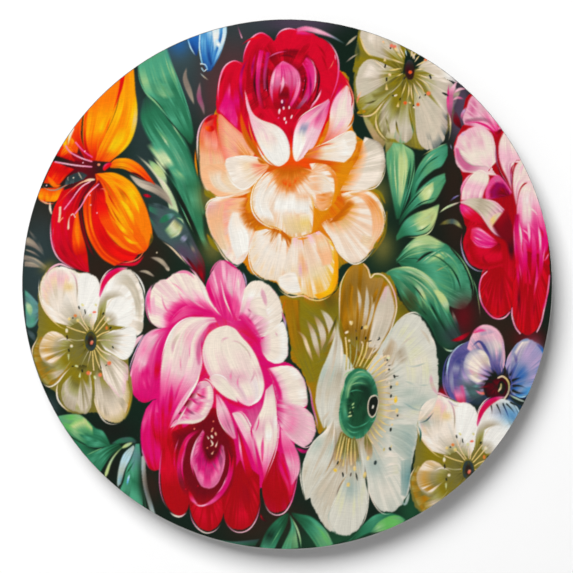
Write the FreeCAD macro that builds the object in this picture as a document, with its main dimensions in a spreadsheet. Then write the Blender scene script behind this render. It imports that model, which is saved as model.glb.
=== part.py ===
"""A flat round painted steel plate that hangs on a wall, on a mitred stand-off frame with two D-ring hangers.

Frame: X to the right and Z up as it hangs, painted face towards -Y, wall towards +Y. The origin is the centre of the
whole object's box, so the plate's axis is the Y axis. Millimetres.
"""

import FreeCAD, Part
import Sketcher
import math
import os
import re

from FreeCAD import Placement, Rotation, Vector

# ---------------------------------------------------------------- driving dimensions

SIZES = [
    ("plate_diameter", 300.0, "outside diameter of the steel plate"),
    ("plate_thickness", 1.2, "steel sheet"),
    ("edge_round", 0.3, "deburred edge of the plate, front and back"),
    ("film_inset", 0.4, "the films stop this far short of the cut edge"),
    ("front_film", 0.2, "ground, painting and clear lacquer"),
    ("back_film", 0.1, "black lacquer"),
    ("strip_thickness", 0.8, "foam bonding tape"),
    ("strip_width", 12.0, "foam bonding tape"),
    ("strip_length", 140.0, "foam bonding tape"),
    ("frame_side", 190.0, "outside of the square stand-off frame"),
    ("rail_width", 20.0, "rail, across the frame"),
    ("rail_depth", 10.0, "rail, from plate to wall"),
    ("rail_round", 2.0, "rounded outer edge on the wall side"),
    ("bumper_height", 4.0, "rubber bumper, which sets the gap at the wall"),
    ("bumper_diameter", 12.0, "rubber bumper"),
    ("bumper_round", 0.8, "rounded edge of the bumper"),
    ("hanger_spread", 60.0, "plate's centre line to each hanger"),
    ("hanger_drop", 1.5, "frame's top edge down to the knuckle's axis"),
    ("strap_width", 10.0, "hanger strap"),
    ("strap_length", 18.0, "knuckle's axis to the strap's lower end"),
    ("strap_thickness", 0.8, "hanger strap"),
    ("wire_radius", 1.0, "wire of the D-ring"),
    ("wire_clearance", 0.08, "running clearance round the wire, in the knuckle"),
    ("ring_reach", 14.0, "knuckle's axis to the middle of the ring's crown wire"),
    ("ring_half_width", 8.0, "middle of the wire, either side"),
    ("ring_corner", 2.0, "bend at the ends of the straight bar"),
    ("screw_first", 6.5, "knuckle's axis to the upper screw"),
    ("screw_second", 14.5, "knuckle's axis to the lower screw"),
    ("screw_radius", 1.5, "screw shank"),
    ("screw_length", 8.0, "screw under its head, point included"),
    ("screw_point", 1.6, "tapered point"),
    ("screw_tip_radius", 0.3, "blunt end of the point"),
    ("pilot_radius", 1.2, "pilot hole in the rail"),
    ("hole_radius", 1.7, "screw hole in the strap"),
    ("head_radius", 2.8, "pan head"),
    ("head_height", 1.6, "pan head"),
    ("head_round", 1.0, "rounded top edge of the pan head"),
    ("recess_width", 0.8, "cross recess"),
    ("recess_length", 3.2, "cross recess"),
    ("recess_depth", 0.9, "cross recess"),
    ("nail_leg", 6.0, "each leg of a V-nail"),
    ("nail_thickness", 0.5, "V-nail"),
    ("nail_depth", 6.0, "V-nail, pressed in flush"),
    ("nail_inset", 13.0, "frame's corner to the V-nail's point, along each edge"),
]

doc = FreeCAD.newDocument("painted_plate")
sheet = doc.addObject("Spreadsheet::Sheet", "sizes")
for row, (alias, value, note) in enumerate(SIZES, start=1):
    sheet.set(f"A{row}", alias)
    sheet.set(f"B{row}", str(value))
    sheet.set(f"C{row}", note)
    sheet.setAlias(f"B{row}", alias)
doc.recompute()


ALIASES = re.compile(r"\b(" + "|".join(alias for alias, _, _ in SIZES) + r")\b")


def size(words):
    """Turns the aliases in an expression into references to the sheet."""
    return ALIASES.sub(r"sizes.\1", words)


def value_of(words):
    """The value of an expression in the sheet's aliases, as a plain number."""
    found = sheet.evalExpression(size(words))
    return float(getattr(found, "Value", found))


# Places along Y, from the painted face to the wall.
DEPTH = "(front_film + plate_thickness + back_film + strip_thickness + rail_depth + bumper_height)"
FACE_Y = f"(-{DEPTH} / 2)"
PLATE_Y = f"({FACE_Y} + front_film)"
LACQUER_Y = f"({PLATE_Y} + plate_thickness)"
STRIP_Y = f"({LACQUER_Y} + back_film)"
RAIL_Y = f"({STRIP_Y} + strip_thickness)"
BACK_Y = f"({RAIL_Y} + rail_depth)"

KNUCKLE_Z = "(frame_side / 2 - hanger_drop)"
KNUCKLE_RADIUS = "(wire_radius + wire_clearance + strap_thickness)"

SIDES = {"left": -1, "right": 1}
QUARTER_TURNS = {"top": 0.0, "right": 90.0, "bottom": 180.0, "left": 270.0}


# ---------------------------------------------------------------- drawing helpers

def bind(item, path, words):
    item.setExpression(path, size(words))


def new_body(label, at=("0", "0", "0"), turn=0.0):
    """A body placed by expressions, turned about the plate's axis by turn degrees."""
    body = doc.addObject("PartDesign::Body", label)
    body.Label = label
    body.Placement = Placement(Vector(), Rotation(Vector(0, 1, 0), turn))
    for axis, words in zip("xyz", at):
        bind(body, f"Placement.Base.{axis}", words)
    return body


def new_sketch(body, name, plane):
    sketch = body.newObject("Sketcher::SketchObject", name)
    base = next(item for item in body.Origin.OriginFeatures if item.Role == plane)
    sketch.AttachmentSupport = [(base, "")]
    sketch.MapMode = "FlatFace"
    return sketch


def pin_point(sketch, geometry, corner, x, y):
    """Holds one point of a sketch at an expression's place."""
    for kind, words in (("DistanceX", x), ("DistanceY", y)):
        index = sketch.addConstraint(Sketcher.Constraint(kind, -1, 1, geometry, corner, value_of(words)))
        bind(sketch, f"Constraints[{index}]", words)


def draw_circle(sketch, x, y, radius):
    centre = Vector(value_of(x), value_of(y), 0)
    index = sketch.addGeometry(Part.Circle(centre, Vector(0, 0, 1), value_of(radius)), False)
    constraint = sketch.addConstraint(Sketcher.Constraint("Radius", index, value_of(radius)))
    bind(sketch, f"Constraints[{constraint}]", radius)
    pin_point(sketch, index, 3, x, y)


def draw_polygon(sketch, corners):
    """A closed outline with each corner held by expressions."""
    places = [Vector(value_of(x), value_of(y), 0) for x, y in corners]
    first = sketch.GeometryCount
    for start, end in zip(places, places[1:] + places[:1]):
        sketch.addGeometry(Part.LineSegment(start, end), False)
    count = len(places)
    for step in range(count):
        after = first + (step + 1) % count
        sketch.addConstraint(Sketcher.Constraint("Coincident", first + step, 2, after, 1))
    for step, (x, y) in enumerate(corners):
        pin_point(sketch, first + step, 1, x, y)


def draw_rectangle(sketch, left, bottom, right, top):
    draw_polygon(sketch, [(left, bottom), (right, bottom), (right, top), (left, top)])


def pad(body, sketch, length, both_ways=False, reversed_way=False):
    feature = body.newObject("PartDesign::Pad", sketch.Name + "_pad")
    feature.Profile = sketch
    feature.Midplane = both_ways
    feature.Reversed = reversed_way
    bind(feature, "Length", length)
    return feature


def cut_through(body, sketch):
    """A pocket right through the body, both ways from its sketch."""
    feature = body.newObject("PartDesign::Pocket", sketch.Name + "_pocket")
    feature.Profile = sketch
    feature.Type = "ThroughAll"
    feature.Midplane = True
    return feature


def round_edges(body, last, radius, wanted):
    """Rounds the edges of the last feature for which wanted(edge) holds."""
    doc.recompute()
    names = [f"Edge{i + 1}" for i, edge in enumerate(last.Shape.Edges) if wanted(edge)]
    feature = body.newObject("PartDesign::Fillet", last.Name + "_round")
    feature.Base = (last, names)
    bind(feature, "Radius", radius)
    return feature


# ---------------------------------------------------------------- plate and its films

def make_disc(label, y, radius, thickness):
    """A disc whose front face is at y and whose back is thickness nearer the wall."""
    body = new_body(label, at=("0", y, "0"))
    outline = new_sketch(body, label + "_outline", "XZ_Plane")
    draw_circle(outline, "0", "0", radius)
    pad(body, outline, thickness, reversed_way=True)
    return body


def make_plate():
    """The steel sheet, with both of its rims deburred."""
    body = make_disc("plate", PLATE_Y, "plate_diameter / 2", "plate_thickness")
    round_edges(body, body.Tip, "edge_round", lambda edge: len(edge.Vertexes) == 1)
    return body


def make_plate_and_films():
    film_radius = "plate_diameter / 2 - film_inset"
    return [
        make_plate(),
        make_disc("painted_face", FACE_Y, film_radius, "front_film"),
        make_disc("back_lacquer", LACQUER_Y, film_radius, "back_film"),
    ]


# ---------------------------------------------------------------- stand-off frame

def make_rail(side, turn):
    """A mitred rail, drawn as the top one and turned into its place."""
    label = "frame_rail_" + side
    body = new_body(label, at=("0", RAIL_Y, "0"), turn=turn)
    section = new_sketch(body, label + "_section", "YZ_Plane")
    draw_rectangle(section, "0", "frame_side / 2 - rail_width", "rail_depth", "frame_side / 2")
    stock = pad(body, section, "frame_side", both_ways=True)

    outer, back = value_of("frame_side / 2"), value_of("rail_depth")
    rounded = round_edges(
        body, stock, "rail_round",
        lambda edge: abs(edge.CenterOfMass.z - outer) < 0.01 and abs(edge.CenterOfMass.y - back) < 0.01,
    )
    rounded.Refine = True

    mitres = new_sketch(body, label + "_mitres", "XZ_Plane")
    inner = "(frame_side / 2 - rail_width)"
    past = "(frame_side / 2 + rail_width)"
    for sign in ("", "-"):
        draw_polygon(mitres, [
            (f"{sign}{inner}", inner),
            (f"{sign}{past}", past),
            (f"{sign}{past}", f"{inner} - rail_width"),
            (f"{sign}{inner}", f"{inner} - rail_width"),
        ])
    cut_through(body, mitres)

    if side == "top":
        pilots = new_sketch(body, label + "_pilots", "XZ_Plane")
        for sign in ("", "-"):
            for drop in ("screw_first", "screw_second"):
                draw_circle(pilots, f"{sign}hanger_spread", f"{KNUCKLE_Z} - {drop}", "pilot_radius")
        cut_through(body, pilots)
    return body


def make_strip(side, turn):
    """A strip of foam tape along the middle of a rail, between it and the plate."""
    label = "bond_strip_" + side
    body = new_body(label, at=("0", STRIP_Y, "0"), turn=turn)
    outline = new_sketch(body, label + "_outline", "XZ_Plane")
    middle = "(frame_side / 2 - rail_width / 2)"
    draw_rectangle(
        outline, "-strip_length / 2", f"{middle} - strip_width / 2", "strip_length / 2", f"{middle} + strip_width / 2"
    )
    pad(body, outline, "strip_thickness", reversed_way=True)
    return body


def make_corner_nails():
    """Four V-nails across the mitres, flush with the rails' wall side: two plates at right angles each."""
    nails = []
    reach = "(frame_side / 2 - nail_inset)"
    for number, turn in enumerate(QUARTER_TURNS.values()):
        legs = []
        for name, length, height in (
            ("across", "nail_leg", "nail_thickness"),
            ("along", "nail_thickness", "nail_leg"),
        ):
            leg = doc.addObject("Part::Box", f"nail_{name}_{number}")
            for path, words in (("Length", length), ("Width", "nail_depth"), ("Height", height)):
                bind(leg, path, words)
            for axis, words in zip("xyz", (reach, "0", reach)):
                bind(leg, f"Placement.Base.{axis}", words)
            legs.append(leg)
        nail = doc.addObject("Part::Fuse", f"nail_{number}")
        nail.Base, nail.Tool = legs
        nail.Placement = Placement(Vector(), Rotation(Vector(0, 1, 0), turn))
        bind(nail, "Placement.Base.y", f"{BACK_Y} - nail_depth")
        nails.append(nail)
    group = doc.addObject("Part::Compound", "corner_nails")
    group.Links = nails
    return group


def make_bumper(side, sign):
    label = "wall_bumper_" + side
    place = "(frame_side / 2 - rail_width / 2)"
    body = new_body(label, at=(f"{sign} * {place}", BACK_Y, f"-{place}"))
    outline = new_sketch(body, label + "_outline", "XZ_Plane")
    draw_circle(outline, "0", "0", "bumper_diameter / 2")
    post = pad(body, outline, "bumper_height", reversed_way=True)
    wall_side = value_of("bumper_height")
    round_edges(
        body, post, "bumper_round",
        lambda edge: len(edge.Vertexes) == 1 and abs(edge.CenterOfMass.y - wall_side) < 0.01,
    )
    return body


# ---------------------------------------------------------------- hangers

def make_strap(side, sign):
    """A steel strap, flat on the rail, whose upper end is rolled into a knuckle round the ring's bar."""
    label = "hanger_strap_" + side
    body = new_body(label, at=(f"{sign} * hanger_spread", BACK_Y, KNUCKLE_Z))
    leaf = new_sketch(body, label + "_leaf", "YZ_Plane")
    draw_rectangle(leaf, "0", "-strap_length", "strap_thickness", "0")
    pad(body, leaf, "strap_width", both_ways=True)
    knuckle = new_sketch(body, label + "_knuckle", "YZ_Plane")
    draw_circle(knuckle, KNUCKLE_RADIUS, "0", KNUCKLE_RADIUS)
    pad(body, knuckle, "strap_width", both_ways=True)
    bore = new_sketch(body, label + "_bore", "YZ_Plane")
    draw_circle(bore, KNUCKLE_RADIUS, "0", "wire_radius + wire_clearance")
    cut_through(body, bore)
    holes = new_sketch(body, label + "_holes", "XZ_Plane")
    for drop in ("screw_first", "screw_second"):
        draw_circle(holes, "0", f"-{drop}", "hole_radius")
    cut_through(body, holes)
    return body


def make_ring(side, sign):
    """A D-ring of round wire: a straight bar in the knuckle, two bends, two short legs and a half-round crown."""
    label = "hanger_ring_" + side
    body = new_body(label, at=(f"{sign} * hanger_spread", f"{BACK_Y} + {KNUCKLE_RADIUS}", KNUCKLE_Z))
    half = value_of("ring_half_width")
    bend = value_of("ring_corner")
    crown = value_of("ring_reach - ring_half_width")
    path = new_sketch(body, label + "_path", "XZ_Plane")
    up = Vector(0, 0, 1)

    def arc(x, z, radius, start, end):
        circle = Part.Circle(Vector(x, z, 0), up, radius)
        return Part.ArcOfCircle(circle, math.radians(start), math.radians(end))

    line = Part.LineSegment
    run = [
        line(Vector(0, 0, 0), Vector(half - bend, 0, 0)),
        arc(half - bend, bend, bend, 270, 360),
        line(Vector(half, bend, 0), Vector(half, crown, 0)),
        arc(0, crown, half, 0, 180),
        line(Vector(-half, crown, 0), Vector(-half, bend, 0)),
        arc(-half + bend, bend, bend, 180, 270),
        line(Vector(-half + bend, 0, 0), Vector(0, 0, 0)),
    ]
    for piece in run:
        index = path.addGeometry(piece, False)
        path.addConstraint(Sketcher.Constraint("Block", index))

    wire = new_sketch(body, label + "_wire", "YZ_Plane")
    draw_circle(wire, "0", "0", "wire_radius")
    sweep = body.newObject("PartDesign::AdditivePipe", label + "_sweep")
    sweep.Profile = wire
    sweep.Spine = path
    sweep.Mode = "Standard"
    return body


def make_screws(side, sign):
    """Two pan-head screws with a cross recess, in the strap's holes and the rail's pilot holes."""
    label = "hanger_screws_" + side
    head_y = f"({BACK_Y} + strap_thickness)"
    screws = []
    for number, drop in enumerate(("screw_first", "screw_second")):
        name = f"{label}_{number}"
        shank = doc.addObject("Part::Cylinder", name + "_shank")
        bind(shank, "Radius", "screw_radius")
        bind(shank, "Height", "screw_length - screw_point")
        bind(shank, "Placement.Base.z", "screw_point - screw_length")
        point = doc.addObject("Part::Cone", name + "_point")
        bind(point, "Radius1", "screw_tip_radius")
        bind(point, "Radius2", "screw_radius")
        bind(point, "Height", "screw_point")
        bind(point, "Placement.Base.z", "-screw_length")
        head = doc.addObject("Part::Cylinder", name + "_head")
        bind(head, "Radius", "head_radius")
        bind(head, "Height", "head_height")
        doc.recompute()
        top = value_of("head_height")
        crown = doc.addObject("Part::Fillet", name + "_crown")
        crown.Base = head
        rounding = value_of("head_round")
        crown.Edges = [
            (index + 1, rounding, rounding)
            for index, edge in enumerate(head.Shape.Edges)
            if len(edge.Vertexes) == 1 and abs(edge.CenterOfMass.z - top) < 0.01
        ]
        whole = doc.addObject("Part::MultiFuse", name + "_whole")
        whole.Shapes = [shank, point, crown]
        slots = []
        for way, length, width in (
            ("wide", "recess_length", "recess_width"),
            ("tall", "recess_width", "recess_length"),
        ):
            slot = doc.addObject("Part::Box", f"{name}_{way}")
            bind(slot, "Length", length)
            bind(slot, "Width", width)
            bind(slot, "Height", "recess_depth * 2")
            bind(slot, "Placement.Base.x", f"-{length} / 2")
            bind(slot, "Placement.Base.y", f"-{width} / 2")
            bind(slot, "Placement.Base.z", "head_height - recess_depth")
            slots.append(slot)
        cross = doc.addObject("Part::MultiFuse", name + "_cross")
        cross.Shapes = slots
        screw = doc.addObject("Part::Cut", name)
        screw.Base, screw.Tool = whole, cross
        screw.Placement = Placement(Vector(), Rotation(Vector(1, 0, 0), -90))
        for axis, words in zip("xyz", (f"{sign} * hanger_spread", head_y, f"{KNUCKLE_Z} - {drop}")):
            bind(screw, f"Placement.Base.{axis}", words)
        screws.append(screw)
    group = doc.addObject("Part::Compound", label)
    group.Links = screws
    return group


# ---------------------------------------------------------------- the assembly

def make_all():
    nodes = make_plate_and_films()
    for side, turn in QUARTER_TURNS.items():
        nodes.append(make_rail(side, turn))
        nodes.append(make_strip(side, turn))
    nodes.append(make_corner_nails())
    for side, sign in SIDES.items():
        nodes.append(make_bumper(side, sign))
        nodes.append(make_strap(side, sign))
        nodes.append(make_ring(side, sign))
        nodes.append(make_screws(side, sign))
    doc.recompute()
    return nodes


def check_document():
    for item in doc.Objects:
        if {"Invalid", "Error"} & set(item.State):
            raise RuntimeError(f"{item.Label}: {item.State}")


def write_steps(nodes):
    os.makedirs("parts", exist_ok=True)
    for node in nodes:
        shape = node.Shape
        if shape.isNull() or not shape.isValid():
            raise RuntimeError(f"{node.Label} has no valid shape")
        shape.exportStep(f"parts/{node.Label}.step")
        box = shape.BoundBox
        print(
            f"{node.Label:22s} solids {len(shape.Solids)}  volume {shape.Volume:9.2f}  "
            f"x {box.XMin:.2f} {box.XMax:.2f}  y {box.YMin:.2f} {box.YMax:.2f}  z {box.ZMin:.2f} {box.ZMax:.2f}"
        )


all_nodes = make_all()
check_document()
write_steps(all_nodes)
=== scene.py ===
"""Looks of the round painted plate: the bouquet laid stroke by stroke, the frame behind it, and the wall.

The painting is laid as brush strokes on a grid that covers the plate. The grid then becomes the surface
of the paint: each stroke gives it colour, a little thickness and the direction of its bristles. Every
flower and every group of leaves is a piece of its own. Places in the painting are in percent of the
plate's radius, x to the right and z up, from the plate's centre.
"""

import math

import bpy
import numpy as np
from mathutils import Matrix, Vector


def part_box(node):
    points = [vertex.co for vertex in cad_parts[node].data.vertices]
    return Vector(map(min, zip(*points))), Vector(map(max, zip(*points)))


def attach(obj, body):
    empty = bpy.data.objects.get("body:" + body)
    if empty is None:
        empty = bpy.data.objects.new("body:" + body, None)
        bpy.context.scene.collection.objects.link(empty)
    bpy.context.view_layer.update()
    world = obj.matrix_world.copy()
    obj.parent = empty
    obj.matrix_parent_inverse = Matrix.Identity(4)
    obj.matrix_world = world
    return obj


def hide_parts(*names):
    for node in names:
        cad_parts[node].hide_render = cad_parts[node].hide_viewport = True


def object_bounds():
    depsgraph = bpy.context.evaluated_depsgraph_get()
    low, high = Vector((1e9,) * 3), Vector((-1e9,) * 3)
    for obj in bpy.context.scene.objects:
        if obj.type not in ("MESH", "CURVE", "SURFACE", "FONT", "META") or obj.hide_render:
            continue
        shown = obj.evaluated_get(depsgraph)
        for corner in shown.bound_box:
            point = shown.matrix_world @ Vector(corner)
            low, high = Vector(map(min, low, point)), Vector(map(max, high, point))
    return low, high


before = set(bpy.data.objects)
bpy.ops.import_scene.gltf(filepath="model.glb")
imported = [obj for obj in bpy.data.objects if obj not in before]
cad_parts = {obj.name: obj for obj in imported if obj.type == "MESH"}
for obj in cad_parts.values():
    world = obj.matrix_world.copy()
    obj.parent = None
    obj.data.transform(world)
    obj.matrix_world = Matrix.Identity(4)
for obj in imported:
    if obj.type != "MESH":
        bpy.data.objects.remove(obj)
size_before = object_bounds()

MM = 0.001
CELL = 0.27                  # grid step of the painting, in percent of the plate's radius
PAINT_DEPTH = 0.11 * MM      # how thick one full stroke stands
PAINT_SINK = 0.12 * MM       # how far the bare ground lies behind the CAD face
THICKEST = 1.6               # the thickest paint, in full strokes
EDGE_PAINT = 0.8             # how thick the paint is at the plate's edge, in full strokes
PAINT_WHITENESS = 0.76       # how much light the whitest paint sends back
VARNISH_DEPTH = 1.10         # how much stronger the varnish makes the colours
RIM_STEPS = 720              # points round the painted edge

# ---------------------------------------------------------------- brush strokes

REACH = 101.0                # the canvas runs this far from the plate's centre
SAMPLES_PER_CELL = 1.7       # samples of paint to a grid step
SPAN_STEPS = 8               # straight steps between two points of a curve
MEASURE_POINTS = 40          # points on a curve while its length is measured
DOT_CORNERS = 8
EDGE = 0.55                  # how wide a stroke's soft edge is
STROKE_EDGE = 0.3            # the most of a stroke's width that its soft edge takes
DOT_EDGE = 0.5               # the most of a dot's radius that its soft edge takes
RAGGED = 0.035               # how unevenly a stroke ends, as a share of its length
CAPPED_RAGGED = 0.4          # how much of that stays where a stroke's start is soft too
LANE = 1.7                   # width of one coarse bristle lane
FINE_LANE = 0.6              # width of one fine bristle lane
COARSE_SHARE = 0.6           # how much the coarse lanes count
FINE_SHARE = 0.4             # how much the fine lanes count
STREAKS = (0.36, 0.66)       # lane values over which a stroke turns to its second run of paints
LANE_CONTRAST = 0.10         # how much the lanes lighten and darken a paint
THIN_BODY = 0.6              # thickness of a stroke's thinnest lane, in full strokes
LANE_BODY = 0.8              # how much thicker its thickest lane is
PRESSED = 0.5                # how much of the paint below a full stroke presses away
HELD = 0.45                  # paint that covers more than this makes the cell its own
FIRST_SEED = 11              # seed of the first stroke's bristles
TRACK_STEP = 7.3             # how far apart two strokes' bristle tracks are
WASH_REACH = 2.2             # how many times its size a wash runs out to
WASH_FALL = 1.2              # how fast a wash fades
BARE = "."                   # the letter for no paint
DARKEST = "N"                # the paint whose colour a wholly bare run carries


def smooth(points, count):
    """count points along a smooth curve through the given points, evenly spaced along it."""
    points = np.array(points, float)
    if len(points) == 1:
        return np.repeat(points, count, axis=0)
    if len(points) > 2:
        closed = np.allclose(points[0], points[-1])
        before = points[-2] if closed else 2 * points[0] - points[1]
        after = points[1] if closed else 2 * points[-1] - points[-2]
        knots = np.vstack([before, points, after])
        t = np.linspace(0, 1, SPAN_STEPS + 1)[:-1, None]
        spans = []
        for a, b, c, d in zip(knots, knots[1:], knots[2:], knots[3:]):
            spans.append(0.5 * (2 * b + (c - a) * t + (2 * a - 5 * b + 4 * c - d) * t**2
                                + (3 * b - a - 3 * c + d) * t**3))
        points = np.vstack(spans + [points[-1:]])
    steps = np.hypot(*np.diff(points, axis=0).T)
    run = np.concatenate([[0], np.cumsum(steps)])
    wanted = np.linspace(0, run[-1], count)
    return np.column_stack([np.interp(wanted, run, values) for values in points.T])


def length_of(points):
    """Length of the straight runs through the points."""
    points = np.array(points, float)
    return float(np.hypot(*np.diff(points, axis=0).T).sum()) if len(points) > 1 else 0.0


def ramp(letters, t):
    """Colour and cover along a run of paints, evenly spaced."""
    cover = np.array([0.0 if letter == BARE else 1.0 for letter in letters])
    solid = [letter for letter in letters if letter != BARE]
    colours, near = [], (solid or [DARKEST])[0]
    for letter in letters:
        near = letter if letter != BARE else near
        colours.append(PAINTS[near])
    places = np.linspace(0, 1, len(letters))
    colours = np.array(colours) / 255.0
    rgb = np.stack([np.interp(t, places, colours[:, k]) for k in range(3)], axis=-1)
    return rgb, np.interp(t, places, cover)


def two_sided(letters, u, v):
    """Colour and cover. A bar parts the run at a stroke's first side from the one at its other side."""
    left, _, right = letters.partition("|")
    rgb, cover = ramp(left, u)
    if right:
        other, other_cover = ramp(right, u)
        rgb = rgb + (other - rgb) * v[..., None]
        cover = cover + (other_cover - cover) * v
    return rgb, cover


def bristles(rng, width, lane, v, closed=False):
    """A smooth random value for each place across a stroke."""
    count = max(3, int(width / lane) + 2)
    knots = rng.random(count)
    if closed:
        knots[-1] = knots[0]
    return np.interp(v * (count - 1), np.arange(count), knots)


def step(low, high, value):
    """A smooth rise from 0 at low to 1 at high."""
    t = np.clip((value - low) / (high - low), 0, 1)
    return t * t * (3 - 2 * t)


def along_and_across(cols, rows):
    """Each sample's place along a stroke, from start to end, and across it, both from 0 to 1."""
    u = np.linspace(0, 1, cols)[:, None] * np.ones((1, rows))
    v = np.ones((cols, 1)) * np.linspace(0, 1, rows)[None, :]
    return u, v


class Canvas:
    """The grid of the painting: colour, thickness, bristle tracks, and the piece each cell belongs to."""

    def __init__(self, cell):
        self.cell = cell
        self.count = int(math.ceil(2 * REACH / cell)) + 1
        shape = (self.count, self.count)
        self.rgb = np.zeros(shape + (3,))
        self.relief = np.zeros(shape)
        self.across = np.zeros(shape)
        self.along = np.zeros(shape)
        self.owner = np.zeros(shape, int)
        self.strokes = 0

    def samples(self, length):
        """How many samples fill a length of the canvas."""
        return int(length * SAMPLES_PER_CELL / self.cell) + 3

    def next_stroke(self):
        """Counts one more stroke, and gives it random numbers of its own."""
        rng = np.random.default_rng(self.strokes + FIRST_SEED)
        self.strokes += 1
        return rng

    def lay(self, x, z, rgb, alpha, across, along, owner, body):
        """Lays samples of paint on the cells they fall in."""
        col = np.rint((x.ravel() + REACH) / self.cell).astype(int)
        row = np.rint((z.ravel() + REACH) / self.cell).astype(int)
        keep = (col >= 0) & (col < self.count) & (row >= 0) & (row < self.count)
        if not keep.any():
            return
        col, row = col[keep], row[keep]
        c0, c1, r0, r1 = col.min(), col.max() + 1, row.min(), row.max() + 1
        wide, size = c1 - c0, (c1 - c0) * (r1 - r0)
        index = (row - r0) * wide + (col - c0)
        hits = np.bincount(index, minlength=size)

        def mean(values):
            total = np.bincount(index, values.ravel()[keep], minlength=size)
            return (total / np.maximum(hits, 1)).reshape(r1 - r0, wide)

        cover = mean(alpha)
        solid = np.maximum(cover, 1e-6)
        window = np.s_[r0:r1, c0:c1]
        for k in range(3):
            paint = mean(rgb[..., k] * alpha) / solid
            self.rgb[window + (k,)] += (paint - self.rgb[window + (k,)]) * cover
        self.relief[window] += (mean(body) - self.relief[window] * PRESSED) * cover
        held = cover > HELD
        for field, values in ((self.across, across), (self.along, along)):
            field[window][held] = mean(values)[held]
        self.owner[window][held] = owner

    def loft(self, inner, outer, paint, owner, edge=EDGE, bow=0.0):
        """Strokes drawn side by side from an inner curve to an outer one."""
        rng = self.next_stroke()
        closed = len(outer) > 2 and outer[0] == outer[-1]
        width = max(length_of(inner), length_of(outer))
        rows = self.samples(width)
        start, end = smooth(inner, rows), smooth(outer, rows)
        reach = end - start
        length = np.hypot(*reach.T).max()
        u, v = along_and_across(self.samples(length), rows)
        side = np.column_stack([-reach[:, 1], reach[:, 0]])
        arch = bow * np.sin(math.pi * u)[..., None]
        place = start[None] + reach[None] * u[..., None] + side[None] * arch
        self.brush(rng, place, u, v, length, width, paint, owner, edge, closed)

    def ribbon(self, left, right, paint, owner, edge=EDGE):
        """One broad stroke between two edges, its bristles running along them."""
        rng = self.next_stroke()
        length = max(length_of(left), length_of(right))
        cols = self.samples(length)
        one, other = smooth(left, cols), smooth(right, cols)
        width = np.hypot(*(other - one).T).max()
        u, v = along_and_across(cols, self.samples(width))
        place = one[:, None] + (other - one)[:, None] * v[..., None]
        self.brush(rng, place, u, v, length, width, paint, owner, edge, False, capped=True)

    def stroke(self, points, width, shape, paint, owner):
        """One stroke along a curve, as wide as its shape says."""
        rng = self.next_stroke()
        length = length_of(smooth(points, MEASURE_POINTS))
        cols, rows = self.samples(length) + 1, self.samples(width) + 1
        spine = smooth(points, cols)
        heading = np.gradient(spine, axis=0)
        heading /= np.maximum(np.hypot(*heading.T), 1e-9)[:, None]
        side = np.column_stack([-heading[:, 1], heading[:, 0]])
        u, v = along_and_across(cols, rows)
        half = width / 2 * SHAPES[shape](np.linspace(0, 1, cols))
        place = spine[:, None] + side[:, None] * ((1 - 2 * v) * half[:, None])[..., None]
        edge = min(EDGE, width * STROKE_EDGE)
        self.brush(rng, place, u, v, length, width, paint, owner, edge, False, capped=True)

    def brush(self, rng, place, u, v, length, width, paint, owner, edge, closed, capped=False):
        """Lays one stroke: its run of paints, varied by its bristles, with soft sides and ends.

        A slash in the paint parts its main run from the one that shows as streaks."""
        main, _, streak = paint.partition("/")
        rgb, cover = two_sided(main, u, v)
        coarse = [bristles(rng, width, LANE, v, closed) for _ in range(2)]
        fine = [bristles(rng, width, FINE_LANE, v, closed) for _ in range(2)]
        start_lane, end_lane = (COARSE_SHARE * c + FINE_SHARE * f for c, f in zip(coarse, fine))
        lane = (1 - u) * start_lane + u * end_lane
        if streak:
            other, other_cover = two_sided(streak, u, v)
            share = step(*STREAKS, lane)
            rgb = rgb + (other - rgb) * share[..., None]
            cover = cover + (other_cover - cover) * share
        rgb = np.clip(rgb * (1 + LANE_CONTRAST * (lane - 0.5))[..., None], 0, 1)
        spread_out = np.hypot(*np.moveaxis(np.diff(place, axis=1), 2, 0)).sum(axis=1)[:, None]
        alpha = cover
        if not closed:
            alpha = alpha * np.clip(v * spread_out / edge, 0, 1)
            alpha = alpha * np.clip((1 - v) * spread_out / edge, 0, 1)
        ragged = RAGGED * lane * (CAPPED_RAGGED if capped else 1.0)
        alpha = alpha * np.clip((1 - u - ragged) * length / edge, 0, 1)
        if capped:
            alpha = alpha * np.clip(u * length / edge, 0, 1)
        body = alpha * (THIN_BODY + LANE_BODY * lane)
        across = (v - 0.5) * width + TRACK_STEP * self.strokes
        self.lay(place[..., 0], place[..., 1], rgb, alpha, across, u * length, owner, body)

    def dot(self, x, z, radius, paint, owner):
        """A small round touch of paint."""
        turns = np.linspace(0, 2 * math.pi, DOT_CORNERS + 1)
        ring = [(x + radius * math.cos(a), z + radius * math.sin(a)) for a in turns]
        ring[-1] = ring[0]
        self.loft([(x, z)], ring, paint, owner, edge=min(EDGE, radius * DOT_EDGE))

    def wash(self, x, z, wide, tall, angle, paint, strength):
        """A soft patch of thin colour."""
        reach = WASH_REACH * max(wide, tall)
        axis = np.arange(self.count) * self.cell - REACH
        cols = np.where(abs(axis - x) < reach)[0]
        rows = np.where(abs(axis - z) < reach)[0]
        window = np.s_[rows[0]:rows[-1] + 1, cols[0]:cols[-1] + 1]
        dx, dz = np.meshgrid(axis[cols] - x, axis[rows] - z)
        turn = math.radians(angle)
        a = (dx * math.cos(turn) + dz * math.sin(turn)) / wide
        b = (dz * math.cos(turn) - dx * math.sin(turn)) / tall
        cover = strength * np.exp(-(a * a + b * b) * WASH_FALL)
        paint = np.array(PAINTS[paint]) / 255.0
        self.rgb[window] += (paint - self.rgb[window]) * cover[..., None]


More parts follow.
